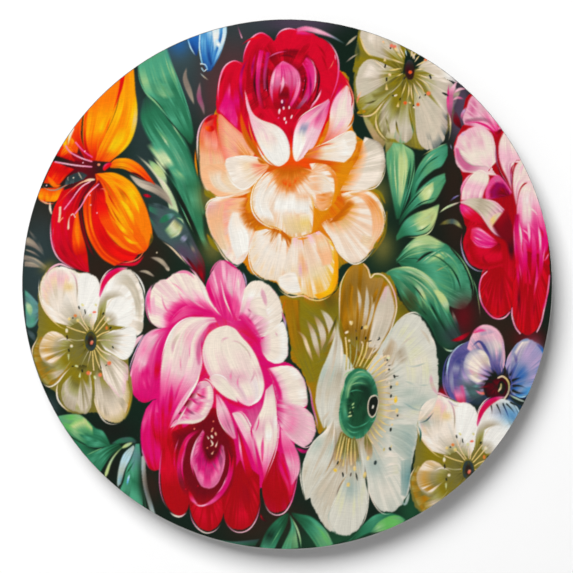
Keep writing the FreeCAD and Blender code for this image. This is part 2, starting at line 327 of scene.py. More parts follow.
# how the half width of a stroke changes along it, from 0 at its start to 1 at its end
SHAPES = {
    # tapered at both ends
    "t": lambda u: np.sin(math.pi * u) ** 0.8,
    # comma, round at its start
    "c": lambda u: np.minimum(1, np.sqrt(np.maximum(u, 0) / 0.12)) * (1 - u) ** 0.75,
    # comma, round at its end
    "r": lambda u: np.minimum(1, np.sqrt(np.maximum(1 - u, 0) / 0.12)) * u ** 0.75,
    # even, with round ends
    "s": lambda u: np.sqrt(np.clip(1 - np.maximum(abs(2 * u - 1) * 8 - 7, 0) ** 2, 0, 1)),
    # leaf
    "l": lambda u: np.sin(math.pi * np.clip(u, 0, 1) ** 0.8) ** 0.9,
    # petal
    "p": lambda u: ((0.25 + 0.75 * step(0, 0.6, u))
                    * np.sqrt(np.clip(1 - np.maximum(u * 3 - 2, 0) ** 2, 0, 1))),
    # oval
    "o": lambda u: np.sqrt(np.clip(1 - (2 * u - 1) ** 2, 0, 1)),
}


def read_points(text, dx=0.0, dz=0.0):
    """The places in a text such as "4,10 6,12", moved by dx and dz."""
    return [(float(x) + dx, float(z) + dz) for x, z in (pair.split(",") for pair in text.split())]


def paint_part(canvas, owner, strokes, dx=0.0, dz=0.0):
    """Lays a part's strokes, moved by dx and dz. There is one to a line, its fields parted by semicolons.

    L  inner curve ; outer curve ; paint, edge, bow     strokes side by side, from one curve to the other
    R  left edge ; right edge ; paint, edge             one broad stroke between two edges
    S  curve ; width, shape ; paint                     one stroke along a curve
    D  radius, paint ; places                           round dots
    W  wide, tall, angle, paint, strength ; places      soft washes of thin colour

    The edge and the bow may be left out. A line that starts with two spaces carries on the one above.
    """
    for line in strokes.strip().replace("\n  ", " ").splitlines():
        kind, _, rest = line.partition(" ")
        *others, last = rest.split(";")
        if kind in ("L", "R"):
            one, other = (read_points(text, dx, dz) for text in others)
            paint, *more = last.split()
            lay_between = canvas.loft if kind == "L" else canvas.ribbon
            lay_between(one, other, paint, owner, *map(float, more))
        elif kind == "S":
            width, shape = others[1].split()
            canvas.stroke(read_points(others[0], dx, dz), float(width), shape, last.strip(), owner)
        elif kind == "D":
            radius, paint = others[0].split()
            for x, z in read_points(last, dx, dz):
                canvas.dot(x, z, float(radius), paint, owner)
        else:
            wide, tall, angle, paint, strength = others[0].split()
            for x, z in read_points(last, dx, dz):
                canvas.wash(x, z, float(wide), float(tall), float(angle), paint, float(strength))


# ---------------------------------------------------------------- the painting, stroke by stroke

# each paint is one letter, with its red, green and blue out of 255
PAINTS = {
    # whites, creams and greys
    "w": (250, 247, 240), "i": (246, 233, 218), "e": (240, 214, 180), "n": (216, 202, 182),
    "q": (182, 168, 145), "E": (138, 125, 114),
    # yellows and oranges
    "j": (222, 232, 180), "y": (244, 196, 20), "d": (236, 206, 130), "a": (247, 160, 8),
    "o": (248, 125, 12), "O": (236, 78, 8), "b": (222, 138, 14), "B": (134, 92, 8),
    "h": (246, 190, 146), "H": (236, 122, 98), "A": (226, 134, 52),
    # reds and pinks
    "r": (196, 8, 14), "R": (226, 20, 14), "k": (206, 4, 44), "K": (158, 0, 24), "m": (112, 6, 22),
    "M": (60, 8, 18), "g": (216, 14, 112), "G": (234, 84, 148), "p": (242, 138, 178),
    "P": (246, 192, 208), "u": (204, 104, 146), "U": (150, 78, 112),
    # greens
    "f": (150, 192, 138), "F": (98, 160, 112), "t": (82, 162, 128), "T": (44, 114, 82),
    "v": (28, 74, 48), "V": (18, 42, 30), "l": (182, 206, 164), "x": (168, 164, 108),
    "z": (120, 112, 56), "Z": (74, 68, 26),
    # darks
    "s": (48, 62, 64), "S": (70, 88, 90), "D": (44, 30, 22), "N": (20, 26, 20), "Q": (80, 52, 54),
    # blues and violets
    "c": (192, 228, 242), "C": (106, 180, 222), "I": (40, 104, 176), "J": (28, 56, 116),
    "W": (152, 152, 178),
    # in-between mixes
    "1": (218, 86, 8), "2": (244, 166, 146), "3": (136, 120, 20), "4": (206, 196, 176),
    "5": (88, 70, 92), "6": (196, 100, 8), "7": (222, 220, 186), "9": (196, 212, 146),
    "L": (166, 4, 18), "$": (104, 150, 150), "%": (222, 219, 206), "@": (186, 196, 184),
    "&": (152, 174, 168), "=": (66, 68, 130), "+": (182, 152, 112), "!": (104, 182, 96),
    "#": (176, 118, 8), "8": (228, 178, 190), "0": (146, 4, 84), "X": (104, 96, 152),
    "Y": (192, 168, 204),
}

# the dark ground, with its warmer and cooler places; its grey patches at the upper left are partly the
# ground's own tint and partly painted sheen of the lacquer
# grey washes at the upper left: the ground's cooler tint with painted sheen of the lacquer laid into it
GROUND = """
W 200 200 0 V 1 ; 0,0
W 14 16 0 s .95 ; -40,84 -34,75
W 8 22 20 s .8 ; -57,66 -52,40
W 10 12 0 S .7 ; -41,90
W 7 20 0 Q .95 ; -21,84 -27,72 -19,92
W 10 10 0 s .8 ; -22,98 -12,99
W 12 14 0 D .9 ; -91,24 -72,6 -54,10
W 10 16 0 s .8 ; -95,6 -93,16 -95,-6
"""

# leaves left of the peach flower
LEAVES_LEFT = """
R -55,70 -56,63 -54,57 -51,52 -47,46 -44,41 -40,34 -35,24 ; -52,73 -47,66 -42,60 -38,54 -35,46 -32,36
  -30,26 ; sTTtttTv|vTTTTTvv/sTtttttT 1.2
R -50,58 -46,54 -43,49 -40,43 -38,36 -36,28 ; -47,60 -43,55 -39,49 -36,43 -34,36 -32,28 ;
  .ttttT|.tTTTv/.tltTt 1
R -49.5,55 -45.5,50 -41.8,44.6 ; -54,53 -50,47.5 -46.3,42.3 ; .fjl./.tlj. 1
R -45,43.5 -42,40 -39,35 ; -42,44.5 -38,40 -36,35 ; .tt./.ft. .9
R -57,88 -56.5,80 -54,72.5 -50,68 -45,62 -40,56.5 -37,53 ; -46,92 -43,83 -40.5,76 -38,69 -36,62 -35,56
  -36,52 ; FttTtTTv|FttTTTTv/FtftTtTv .8
R -52,78 -48,77 -44,76 ; -51,72 -46,70 -41,71 ; .t.|.f. 1.5
S -53,72.5 -49,68.5 -44,61.5 -38,54 ; 1.0 t ; NVV
S -56.3,84 -56,78 -53.5,72.5 -49.5,68.5 -44.5,62.5 -40,57 ; .8 t ; ttftt
S -45.5,88 -42.5,80.5 -39,71 -36.5,63 -35.5,57 ; .7 t ; .ttT
S -38,82.5 -38.6,78 -37,73 -35,67.5 ; 2.7 t ; EEq/EEE
S -33,77 -33.3,71 -32,67 -31.2,63.5 ; 2.4 t ; EUE
S -57.5,49.5 -52,44.5 -47.5,39 -44,32 -42,24 ; 4.2 r ; qniji|njnnq/nijlj
S -60,41.7 -55.5,38.3 -50,36.2 -46,33 -43,29 ; 4 t ; Enqq|nnEE/nEq
S -55,34 -51,33 ; 1.6 t ; mkm
S -53,47.6 -48.4,42.6 -45,37.6 ; 3.4 t ; .f99l.
S -51.4,49 -47.4,44 -44,39.6 ; 1 t ; .jl.
S -52,84 -48,76 -43,68 -38.6,60 ; 1 t ; .tFtT.
S -47,90 -45,82 -41,73 -37.6,65 ; .8 t ; .fFt.
S -54,68 -49.6,61 -44.6,53.6 -39.6,46 ; 1 t ; .TtFt.
S -44.6,62 -41,56.6 -37,50 ; .8 t ; .lFt.
S -51.6,62 -47,55.6 -42.6,48.6 ; 1.2 t ; .tFlt.
"""

# the blue bellflower at the top, and small touches beside it
BELLFLOWER = """
W 5 5 0 I .7 ; -41,91
R -38.5,96 -38,92 -36,88 -34.5,86 ; -32,98 -32.5,92 -33.5,88 -34,86 ; IIJJ|CIIJ .6
S -38,94 -36.5,89.5 -34.5,86.2 ; .7 t ; Ccc
R -33,98 -33.3,91 -32.5,85 -30.5,80 ; -22.6,99 -22.8,94 -25,87 -28.6,80.5 ; ICIJ|CcCI/CIIJ .6
R -31,96 -31,91 -30.5,86 -29,82 ; -28,96 -28.5,91 -28.5,87 -28,83 ; CIJJ|wCIJ .8
R -29,98 -28.5,93 -27.8,88 ; -25,98 -25.5,93 -27,88 ; wwc|wwC/cww .8
R -24.5,98 -25,93 -27,87 -28.5,82 ; -22.7,98 -23,94 -25,88 -28,82 ; ccCI/cwcC .5
S -32.8,97 -33.2,90 -32.6,85.5 -32,83 ; .8 s ; cccC
S -33,83.4 -31,83 -30,81 ; .6 s ; wcC
S -32.5,82 -31.5,80.6 -30.4,81.5 ; .5 s ; ccw
S -33,80 -31.5,78.5 -29.6,77 ; .6 t ; cqE
S -19,98.5 -18,95.5 -17,92.8 ; .8 r ; uuP
S -27,93.4 -26,90.6 -24.4,88.4 ; 2 t ; .cwc.
"""

# the orange lily at the upper left, and the grey sprigs below it
LILY = """
W 7 8 0 m .9 ; -78,46 -76,36
R -89,49 -86,54 -83,58 ; -80,46 -79,50 -78,54 ; ROo|KOO/rOy
S -86,48 -83,51 -80.5,48.5 ; 3 t ; Oao/RO
S -83.5,58 -84,53 -82.5,49 ; 2 t ; oyO
R -76.5,47 -80,53 -82.5,58 -79,66 ; -74,47 -77.3,54 -77.5,60 -76.5,68 ; mrOo|KROO/rOo
S -81,60 -82.3,55.5 -83.2,51 ; 2.4 c ; wijd
R -75,46 -77.3,53 -77.5,60 -76.5,67 -73,77 ; -71,47 -70,54 -66,62 -63.6,70 -62,84 ;
  KROooao|Oaaaooo/rOaaooO
R -75.5,47 -77,53 -77.3,60 -76.3,66 ; -73.5,47 -75.5,53 -76,60 -75,66 ; KKrR|rROO/KrOR .7
R -72,57 -71,61 -68,66 ; -70,56 -68,61 -66.5,66 ; .yya.|.yaa. 1.2
R -73,46.5 -70.5,54 -66.5,62 -64,70 -62.5,84 ; -67,46 -61,51.5 -58.2,58.5 -57,67 -57.3,75 -58,85 ;
  ROooaoo|oyaaaab/Oaayaao
S -66,47 -60.5,53 -57.9,60 -57.2,67 -57.6,74 ; 2.2 t ; .yydya
R -69.5,49 -67,54 -64,60 ; -65,49 -61,55 -60,60 ; .yya.|.yyy./.aya. 1.2
S -62,82 -62.6,76 -64.2,70 -66.5,64 ; 2.6 c ; RRRO/RrO
S -66.5,64 -69,57 -71.5,51 ; 1.2 t ; OoO
S -82,50 -79.5,48 -77,46 ; 3 t ; mKm
R -88.7,47 -91,42 -92.5,38 ; -80,43.5 -83,41 -86,37.5 ; rRRO|KrRO/RrOR
S -91,41.5 -88,37.5 -85,37.5 ; 2.4 t ; OoO
R -94.5,36.5 -94.5,33 -93,31 ; -84,37 -85,33 -88,31 ; OooR|ROOR/Oao
S -94.5,32.5 -91,30.7 -87.5,30.5 ; .9 t ; HhR
S -93,38.5 -91.5,36.3 -88,35.6 -84.5,37 -81,39 -78,39.7 ; .8 t ; HqEHE
L -84.5,37.5 -80,38.7 -76.5,40 ; -84,39.5 -81.5,41.8 -78,42.8 -75,41.2 ; ss/Ss .7
S -82.5,41 -83,40 -82.5,39 ; .5 t ; qEq
S -79.2,42.8 -78.4,41.2 -77.4,39.6 ; .7 t ; nqn
D .4 n ; -80.8,40.3
W 6 5 0 D .7 ; -80,2
R -85.5,35.5 -89,27 -89.4,20 -88.5,13.5 -86,9.5 -82,6.5 -76,4.5 ; -74,39 -78.5,30 -78,23 -76.6,17
  -75.4,12 -75,8 -74.5,4 ; kkRkkKK|mKrrrRk/rRkkKkk
S -79,36 -83,31 -85.5,26 ; 4 t ; mkk/KkR
R -80.3,26 -81.6,19 -81.2,13 -80,10.5 ; -79,29 -78,22 -76.3,16 -75.4,11 ; ROOr|OoOr/oOOr .7
S -79.5,26 -79.5,20 -78.5,13 ; 2 t ; .ooO
S -78.2,30 -77.7,24 -76.4,18 -74.4,13 -72,9 ; 1.8 t ; KmmmM
S -89.2,26 -89.5,20 -88.6,14 -86.3,9.7 -82.5,7 -79,5.7 ; .8 t ; GPpPpP
S -88.3,22 -88.6,17 -87.5,13 ; .5 t ; pkp
R -77,33 -77.3,27 -76,19.5 -73.5,14 -70,9.5 -65,6.6 ; -71,40.5 -72,33 -72,25 -70,18 -66.5,13 -60,9 ;
  OOOOOO|KKrrrr/ROoOOO
R -73.5,32 -74,26 -72.5,19 -69,13.5 -64,9.5 -58,8 ; -68,33 -69,26 -67.6,19.8 -64.2,15.4 -60,12.6
  -55.5,12 ; rRRRRk|KkRrrr/RRrRR
R -73,42 -72,36 -70.8,29 -70,24 -68.4,19.5 -65.4,15.8 -61.6,12.8 -57,11.2 -53.4,12.4 ; -71.5,42
  -66,42.5 -61.4,40.8 -57.2,37.2 -53.8,31 -51.8,25 -50.8,20 -51.4,16.5 -53,13 ;
  rRROOOO|oaayaooO/oaaaoooO .6
S -70,41 -64,38 -58,32 -55,24 -55,17 ; 5 t ; oaaaoo.
S -68,40.6 -61.6,37.6 -56.6,31.6 -53.6,24.6 ; 3 t ; .oayao.
S -71,39 -68,32 -63,24 -57,16 ; 5 t ; Rooaao.
S -71.6,38 -70.6,31 -68,23 -63,16.6 ; 4.6 t ; rrROO.
S -71.4,40 -70.6,35 -68.6,29.6 ; 3.4 t ; KmrR.
S -70,39.6 -66.6,34 -62.6,28 ; 1.2 t ; r61o.
S -68.6,36 -66,31 -62,25 ; 1 t ; .r1o.
S -69.4,33 -67,27 -63.6,22 ; 1.1 t ; .r1O.
S -67.6,31 -64,24.6 -59.6,19 ; .9 t ; .16o.
S -66,38.6 -61.6,34.6 -58,29 ; .9 t ; .o1o.
S -64,33 -60,28 -57.4,21.6 ; 2.4 t ; .yyya.
S -61,35.6 -57.6,31 -55.4,25.6 ; 1.6 t ; .yyy.
S -65.6,25.6 -62,20.6 -57.6,16.6 ; 2 t ; .ayo.
S -63,19.6 -59,16 -55,15.6 ; 1.6 t ; .aya.
S -60.5,22 -58.5,20 -58,17.5 ; .7 t ; aaO
S -66.5,16.2 -62,13 -57.5,11.6 -54.5,13 ; 1.4 t ; ORRO
S -66,7.5 -61,7.6 -57,8 -53.5,11.5 ; 1.8 t ; rkkr
S -64.5,8.4 -60,8.4 -56,10 -53.2,14.2 ; .7 t ; RHHO
S -52,20 -51.2,17.5 -52.5,14 ; 1.6 t ; bZB
R -67.5,45.2 -65,47.6 -60,47.8 -55.5,45.3 -52.3,41.5 -49.5,37.5 ; -67,43.8 -62,43.4 -58,41.4 -54,39.2
  -51.5,38.3 -49.8,37.2 ; OoooOO|bBORRr/OaoOO .5
S -63,43 -57,41.6 -52.5,38.6 ; 1 t ; .MM
S -69.5,42.8 -68.5,44.5 -66.2,46 ; 2.4 o ; kGk/Rk
S -72,45.3 -70.5,45.2 ; 1.4 o ; Hh
S -73.5,44.4 -80,45 -88.3,46.4 ; .85 s ; pPPp
S -73.5,46.3 -78,47.8 -82,50 -84,52.8 ; .8 s ; pPpp
S -73.5,47.9 -77,50.4 -80.3,54 ; .75 s ; GGp
S -71,38.2 -75,34.4 -78,29.5 -80.6,26.2 ; .75 s ; pPpp
S -74,39.2 -78,36.6 -81.5,32 -84.6,28 ; .75 s ; PPpp
S -72.6,39.6 -78,38.4 -84,33.5 -88.6,28.3 ; 1 c ; ihHHp
S -72.4,39.7 -75,39.5 -77,38.8 ; 1.3 o ; ieh
S -89.7,31.2 -89.6,28.5 -89,26.2 ; 1.2 o ; eie
S -85.8,29.6 -86,26 -86.4,23.2 ; 1.2 s ; eeh
S -84.6,25.4 -86.5,23.5 ; .7 s ; Hh
S -80.4,25.6 -81.6,26.3 -82.5,24.5 -82.8,20.4 ; 1.3 r ; eie
S -81.8,26 -81,26.6 -80,25.2 ; .5 s ; ii
D .35 P ; -91,37.4 -76.5,50.3 -74.3,30 -74.6,33.7 -71.9,27 -77.2,46
S -71,36 -69.2,36 -68.7,34 ; .5 t ; HHO
S -99.5,17 -95,14.5 -91.5,10.5 ; 4 c ; EEE/qES
S -98,21 -94.5,16 -91.8,11.5 ; 1.8 t ; EsE
S -100,10.3 -95.5,9 -91,5.8 ; 2.4 s ; EqE/ES
S -100,13.5 -96,12 -92.5,9.6 ; 1 t ; qEs
S -52,10.3 -48,9 -44.5,5.6 ; 2.2 t ; EqE
S -56.5,5 -53.5,4.8 -49.8,2.8 ; 1.3 t ; EqE
S -67,39.4 -63.6,36 -60,30.6 -58,25 ; 1.6 t ; .o6ao.
"""

# the crimson rose at the top
CRIMSON_ROSE = """
W 12 5 0 5 .7 ; 10,99 0,99
L -1,78 ; -27,66 -26.7,74 -25,81 -21,84.7 -17,84 -16.6,88 -14,93.3 -10,95.4 -7,94.2 -5,92.5 -3,95.5
  0,96.8 5,96.8 11,94.5 16,91.5 19,87 19.6,82 22,79 24,75 18,66 12,56 0,50 -14,54 -22,58 -27,66 ;
  mKk/Kkk
R -27,65 -26.7,74 -25,80.8 -21.5,84.3 -18.5,84.5 ; -18,57 -16,64 -15.6,72 -15.3,79 -16.6,83.5 ;
  kkkkkk|krKKkk/kkkkkk
R -26.5,66 -24,72 -22.5,78 ; -18.5,58 -18.5,66 -20,74 ; gggk.|gGgk./GggG. .9
S -19.5,80 -19.3,73 -18.7,66 -17,59 ; 2.6 t ; .kgkO
S -26.1,67.5 -26,74 -24.8,80 -22.8,83.2 -19.8,84.5 -17.3,83.2 -16.2,81.5 ; .9 t ; GpPpPpG
R -17,82 -16.4,87.5 -14,92.8 -10.5,95 -8,94.5 ; -10,77 -9.8,83 -8.5,88.5 -6,92 -5.4,93 ;
  kkkkk|KKKkk/kkkkk
S -16.9,82.5 -16.1,88 -13.8,92.7 -10.5,95 -7.9,94.3 -5.2,91.6 ; .8 t ; GGpPpGG
L -1,86 ; -6.5,91 -5,92.3 -3,95.3 0,96.7 4,96.4 9,94.6 12.5,93 ; Kkkk/kkkk .8
S -5,92.4 -2.5,95.7 1,96.7 5,95.6 ; .8 t ; GpPpG
L 6,80 ; 9,94.5 13,93.2 16.5,91 19,86.5 19.5,80 18.3,73 15.5,67.5 10,66 ; Kkkk/Kkkk .8
L 13,84 ; 9,92 13,93 17,89.5 19,84 19,77 17,72 ; kkkk/kkk. 1
R 19,81 19.4,77 18,72 16.5,68 ; 20,80.5 23.5,76 22,74 17.5,69 ; kkgg/kkG .8
S 12.5,93.4 15.5,91.7 18.2,88 19.4,83.5 19.1,78 17.6,73 15.2,67.6 ; .9 t ; WpPpGGGp
S 14.8,80.8 16.5,82.3 17.8,85.3 ; .5 t ; kHH
S 18.4,84.5 18,87.2 ; .6 t ; pP
L -1,77 ; -9.5,74 -9.5,82 -6,87.5 1,89.5 7,88 11.5,83 12.3,76 9,69 4,65 -5,65 -9,68.5 -9.5,74 ;
  MmKm/KmkK 1.2
R -10.8,89 -12,82 -12,74 -10.4,66 ; -8.6,88.5 -9.8,81 -10,74 -8,65.5 ; kggGk|KgUmK/gGggk .6
R -8.2,88.3 -9.3,80 -9,73 ; -6.2,87.8 -7.6,80 -7.4,74 ; ggU|0Um/gGU .6
R -13.5,77 -13.4,71 -11.5,66 ; -12,77 -11.9,71 -10.2,66 ; .mK|.mK 1
S -8.5,85 -4,87.4 1,88.3 ; .7 t ; .uG.
R 5.4,83.5 7,80 7.3,75 5.8,70.5 2.6,66 ; 7.3,86.5 10.3,83 10.8,77.5 9,71.5 4.4,65.8 ;
  kgggUm|gGGGuU/GgguU .6
S 6.5,83.7 8,83.2 ; .6 t ; gG
S 7.3,86.4 9.8,83.6 10.7,79.5 10.3,74.5 8.4,70 ; .8 t ; GPpPp.
D .35 G ; 6.6,77 6.7,75.1 6,73.5
R -4.6,64.8 -6.2,70.5 -6.6,76 -5.2,81.3 -2,84.6 ; .8,65 4,69.5 5.4,74.6 4.9,79.5 2.3,82.6 -1.6,84.7 ;
  Km0kggu|K0gGuGp/KKkupGp .6
S -5.2,67.5 -6,73 -5.2,79 -3.4,83 ; 1.7 t ; gupPp
R 1.5,66.5 4.1,71.2 5.1,76.5 4,81 ; .6,68 2.6,72.5 3.4,77 2.8,81.5 ; gGpGp|UuGup/gpPG .6
R -4,69.5 -3.4,74 -2.2,78.5 ; 1.2,69.5 1,74 -.6,78.5 ; mKKu.|mmKu./KmKp. .9
D .6 p ; -2.2,75.9
S 13.2,74.6 12,71.4 9.6,67.8 8,65 ; 1.3 t ; UPPpu
S 12.7,74.5 10.5,70 7.5,66.8 ; .8 t ; .MmK
R -12,66.5 -8,63 -3,60 0,56 .8,48 ; 9.5,66.5 5,63 2.5,59.5 1.6,56 1.6,48 ; kkkkr1|KKkr11/kkkk1 .8
D .6 K ; -8,73.3
S -8.2,73 -7.6,73.7 ; .6 t ; uG
S -2,70 -1.9,68.2 ; 1 o ; Pw
S -1.4,67.4 -1.3,65.8 ; 1 o ; wP
S .8,67.7 .7,66.1 ; .9 o ; Pw
S -2.9,66.6 -3.1,64.2 ; 1.1 o ; wP
S -1,63.4 -1,61.8 ; 1.1 o ; ww
S -.4,62 -.5,60.5 ; .8 o ; Pw
S 1.9,64.2 1.3,62.4 ; .9 o ; wP
D .4 G ; -3.3,62.9
R 3.5,95 7,95.4 12,94.3 17,92.9 21.7,90.7 ; 3.2,97 7,97.9 12,96.8 17,94.4 21.9,91.1 ;
  GpPpWc|upPPcc/PpPYc .7
R 3,94.2 6,94 10,93.6 ; 3,95.5 6,96 11,94.8 ; ggk|GGk .9
S 21.7,89.9 24.5,92.4 27,94.6 ; 1.3 t ; EqqE
S 21.5,83.4 24.5,85.8 27.5,87.6 ; .9 t ; .Eq.
S -11.4,84 -12.4,76 -11,67 ; 1.2 t ; .mMm.
S -7,83.6 -7.6,76 -6.6,69 ; 1 t ; .mM.
S 5.8,82.6 6.9,76.4 5.2,69.6 ; .9 t ; .mMm
S 8.2,85.4 11.8,80 11.4,73 8.4,66.6 ; 1.1 t ; .mMm.
S -4,86 0,86.6 4,85 ; 1.1 t ; .mm.
S 12,88 14.6,83 14.6,76 ; 1.4 t ; .Kk.
S -13.6,88 -14.8,80 -14.4,70 ; 1.4 t ; .KK.
S -14,86.6 -17,81 -17.6,74 -16,67 ; 1.6 t ; .0g0.
S -11.6,88.6 -13,83 -13.6,76 ; 1.2 t ; .g0g.
S 5.6,84.6 8.4,79 8.6,72 6,66 ; 1.2 t ; .g0g.
S -1.8,80 -1.6,76 -3,71 ; 1.4 t ; .PPu.
S -4.6,81 -5.6,76.6 -5.6,72 ; 1.2 t ; .PPu.
S -21,84 -24.6,78 -26,71 ; 1.2 t ; .kKk.
S -18,90 -14,92.6 -8,94 ; 1 t ; .kR.
S 10,92 14,87 15.6,80 ; 1.2 t ; .Kk.
"""

# the peach flower, upper petals
PEACH_PETALS = """
L -13,46 ; -24,46 -25.5,52 -26.5,60 -26,65 -22.5,62 -18.5,58.5 -14.5,55 -12,50 ; 1A2hH/Ahh2H .7
S -17.8,66 -16.5,59 -14.5,54 -11,49 -7.5,45.8 ; 2.8 t ; O166b/1A
R -31,35 -33.2,41 -33.6,48 -33.8,55 -32.8,60 -30.3,63.5 -26.3,64.8 ; -20,36 -22,42 -23.6,48 -25,54
  -26,58 -26.3,62 -25.8,64.3 ; ehhhAHHR|ieehHrrK/heh2HHRk .8
R -31.5,50 -32,55 -31.5,59.5 ; -26,49 -25.5,54 -26.5,59 ; .h2.|.HHr./.2H. 1.2
S -27,60 -29,58.8 -31.5,59.5 ; 2.8 t ; .rOA
S -31.5,61 -29.5,62.6 -27,63.3 ; 2 t ; rKR
S -33.4,44 -34,51 -33.6,57.5 -31.8,61.8 -29,64.1 -26.4,65 ; .9 t ; ehiPPpG
S -33.6,40 -34.6,46 -34.7,52 ; 1 t ; bb1
L -13,35.5 ; -19,46 -26,46 -31.5,45 -33,42 -32,38 -29,34.6 -25.5,32.9 -20,33 -16,34 ; heehh/Aiehh .8
R -31,44 -30,40 -28,36.5 -24,34.6 -17,35.5 ; -24,44 -24.5,40 -22,37 -20,36 -15,36.5 ; .eei.|.iiih./.iee
  1.2
S -32,37.5 -29.5,34.4 -26,32.9 -22,33.2 -17.5,34.7 -14,35.2 ; .9 t ; heiihA
L -6.5,45 ; -11,48.2 -17,48.9 -23,47.8 -24,45.5 -22.9,42 -20.8,38.2 -17.2,35.8 -14,36.6 -10.5,40.6 ;
  AHeii/hhiiw .6
R -13,47.5 -17,46.5 -21.5,45.5 ; -12,43 -16,41 -20,40 ; .iw.|.iw./.ei. 1.4
S -23.8,45.5 -22.8,42 -20.6,38.2 -17.2,36 -14.2,36.9 -10.7,40.6 -6.5,44.4 ; .8 t ; eiwwiih
R -16.2,74 -15.2,67 -13.8,60 -11.2,53 -8.2,47.8 -5,45 -2.6,44.5 ; -15.4,71 -13.2,65 -10,62.3 -4,60.2
  -.6,57 1.2,52 .8,47.5 -1.6,45 ; 2PPPiwww|PPiiwwwi/pPPiiwww .5
R -12,60 -10.5,55 -8,50 ; -5,58 -3,54 -3,48 ; .Piw|.iww/.iiw 1.2
S -16,73 -14.9,66.5 -13,63 -9.5,61 ; .8 t ; PPPi
S -14.9,64 -14,58 -11.7,52 -8.5,47 -5.6,44.4 ; 1 t ; 2A166
S -12,53.5 -9.3,48.4 -6.5,45.6 -4,44.8 ; .8 t ; iwwi
S -11.5,48 -10,46.5 -7.5,45.4 ; 1.8 t ; 66b
S 1.5,58 1.5,52 1.6,47 ; 1.2 t ; rR11
R 22.2,75.8 18,71 16,66 15.5,60 13.8,55 11,51.3 ; 23.4,74.8 25,70 25.3,64.5 24.6,60 20,55.5 12,51 ;
  PPP2H1|iiiiPH1/HPPi2HH .6
R 21.5,74 19,69 17.5,63 15.5,57 ; 24,73 23.5,68 23,62 19,57 ; .iii.|.iii./.PiP. 1.2
S 23.2,74.2 24.6,70.4 24.1,66.5 ; .7 t ; rKr
R 15.8,70.5 10,66.8 5.2,63.4 2.6,58.5 1.8,52 2.2,48 3.3,46.2 ; 16.4,68.5 15,62.5 12.7,57 10.6,52.4 8,49
  5.2,47 3.5,46.1 ; PPiwwwii|gGpPPPPh/PupPwwi .5
R 13,66.5 10.5,63 8.5,59 ; 15,65 13.6,61 11.8,57.5 ; .uGp.|.Gup./.pP. .9
R 5.5,62 4,58 3.4,53 ; 9.5,62 7.5,57 6.8,51.5 ; .www.|.iww./.Wi. 1
S 16.3,67.5 14.6,61.5 12.6,56 10.4,51.8 7.5,48.6 3.8,46.2 ; 1.1 t ; RRR116A
S 15.6,69.5 10.2,66.8 5.4,63.6 3,60 ; .6 t ; GiiwP
L 8.5,51.2 6,47.7 ; 15,53.5 20,56 24,58.4 26.3,57 26.6,53 25.6,49.5 22,45.8 ; 6Heiii/AAiiwi .6
R 12,52.5 17,53.8 22,56 ; 11,50 17,49.5 24,50.5 ; .iwi|.www/.eiw 1.2
S 9.5,51.2 14,52.7 19,53.4 ; .9 t ; 11H.
S 22.4,59 24.4,61.5 25.2,65 ; 1 t ; A61
S 26.8,53 25.8,49.5 22.3,45.4 ; 1.6 t ; Ab6
S 20.8,79.4 23,76 24.8,71.5 25.2,67 26,64.8 ; .8 t ; RHH2h
"""

